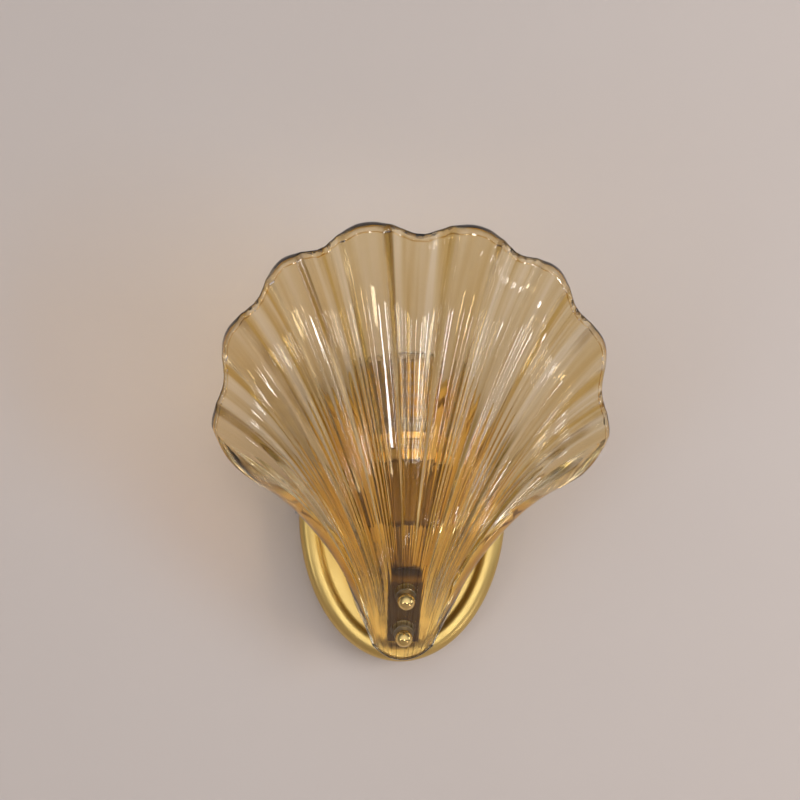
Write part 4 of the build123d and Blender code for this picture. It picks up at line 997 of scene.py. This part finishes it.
def box_room():
    """Pale wall behind the light, clear from its back, and a pale floor far below."""
    paint, tree, shader = new_paint("wall_paint")
    tone = ramp(tree, noise(tree, 3.0, 2.0), WALL_DARK, WALL_LIGHT, 0.2, 0.8)
    tree.links.new(tone, shader.inputs["Base Color"])
    shader.inputs["Roughness"].default_value = 0.85
    shader.inputs["Specular IOR Level"].default_value = 0.2
    bump(tree, shader, noise(tree, 350.0, 4.0), 0.12, 0.0002)
    see_through_where(tree, shader, tree.nodes.new("ShaderNodeNewGeometry").outputs["Backfacing"])
    left, right, near = -ROOM_HALF, ROOM_HALF, -2 * ROOM_HALF
    low_left, low_right = (left, WALL_GAP, FLOOR_Z), (right, WALL_GAP, FLOOR_Z)
    for name, corners in (
        ("wall", [low_left, low_right, (right, WALL_GAP, ROOM_HALF), (left, WALL_GAP, ROOM_HALF)]),
        ("floor", [(left, near, FLOOR_Z), (right, near, FLOOR_Z), low_right, low_left]),
    ):
        mesh = bpy.data.meshes.new(name)
        mesh.from_pydata(corners, [], [[0, 1, 2, 3]])
        mesh.materials.append(paint)
        plane = bpy.data.objects.new(name, mesh)
        scene.collection.objects.link(plane)


box_room()

# ---------------------------------------------------------------- lights
LIGHT_TARGET = (0, -0.06, 0.04)
LAMP_COLOUR = (1.0, 0.97, 0.94)


def place_from(azimuth, elevation, reach):
    """Place at angles from straight out of the wall, to the right and up, in degrees."""
    a, e = math.radians(azimuth), math.radians(elevation)
    x, y, z = LIGHT_TARGET
    level = reach * math.cos(e)
    return (x + level * math.sin(a), y - level * math.cos(a), z + reach * math.sin(e))


def area_light(name, place, width, height, power, colour=(1, 1, 1)):
    """Rectangular lamp that faces the target."""
    data = bpy.data.lights.new(name, "AREA")
    data.shape = "RECTANGLE"
    data.size, data.size_y = width, height
    data.energy = power
    data.color = colour
    light = bpy.data.objects.new(name, data)
    scene.collection.objects.link(light)
    light.location = place
    aim = Vector(LIGHT_TARGET) - Vector(place)
    light.rotation_euler = aim.to_track_quat("-Z", "Y").to_euler()
    return light


# a broad key lamp from the right and a weak low fill from the left light the room
for name, place, width, height, power in (
    ("key", place_from(55, 1, 1.7), 0.40, 0.95, 13.0),
    ("fill", place_from(-50, -22, 1.6), 0.55, 0.55, 3.0),
):
    area_light(name, place, width, height, power, LAMP_COLOUR).visible_glossy = False

# small bright lamps light no matt surface; they show in reflections and through the glass
for name, place, width, height, power in (
    ("glint_right", place_from(52, -39, 1.4), 0.34, 0.18, 3.6),
    ("glint_side", place_from(74, 2, 1.5), 0.10, 0.60, 1.6),
    ("glint_left", place_from(-48, -14, 1.5), 0.05, 0.30, 0.7),
    ("glint_low", place_from(6, -18, 1.2), 0.10, 0.12, 0.9),
):
    area_light(name, place, width, height, power).visible_diffuse = False


def light_room(low, high, front, colour):
    """Soft light from all round, strongest from the room's far side."""
    world = bpy.data.worlds.new("room_light")
    scene.world = world
    world.use_nodes = True
    tree = world.node_tree
    way = split(tree, tree.nodes.new("ShaderNodeTexCoord").outputs["Generated"])
    around = smooth_range(tree, way["Z"], -0.6, 0.7, low, high)
    ahead = smooth_range(tree, way["Y"], -0.2, -1.0, 0.0, front)
    background = tree.nodes["Background"]
    background.inputs["Color"].default_value = (*colour, 1)
    tree.links.new(math_node(tree, "ADD", around, ahead), background.inputs["Strength"])


light_room(0.26, 0.14, 0.85, (1.0, 0.99, 1.0))

# ---------------------------------------------------------------- camera
# fitted to the photograph; the lens is its focal length in pixels of the photograph's width
PHOTO_WIDTH = 800
PHOTO_FOCUS = 2049.2
SENSOR_WIDTH = 36.0
CAMERA_PLACE = (-0.0833, -1.3, 0.0827)
CAMERA_YAW = math.radians(3.56)
CAMERA_PITCH = math.radians(-0.58)
CAMERA_ROLL = math.radians(1.38)


def make_camera():
    data = bpy.data.cameras.new("camera")
    data.lens = PHOTO_FOCUS / PHOTO_WIDTH * SENSOR_WIDTH
    data.sensor_width = SENSOR_WIDTH
    camera = bpy.data.objects.new("camera", data)
    scene.collection.objects.link(camera)
    level = math.cos(CAMERA_PITCH)
    ahead = Vector((math.sin(CAMERA_YAW) * level, math.cos(CAMERA_YAW) * level, math.sin(CAMERA_PITCH)))
    right = Vector((math.cos(CAMERA_YAW), -math.sin(CAMERA_YAW), 0))
    up = right.cross(ahead)
    rolled_right = right * math.cos(CAMERA_ROLL) + up * math.sin(CAMERA_ROLL)
    rolled_up = up * math.cos(CAMERA_ROLL) - right * math.sin(CAMERA_ROLL)
    turn = Matrix((rolled_right, rolled_up, -ahead)).transposed().to_4x4()
    camera.matrix_world = Matrix.Translation(CAMERA_PLACE) @ turn
    scene.camera = camera


make_camera()
scene.view_settings.view_transform = "Standard"
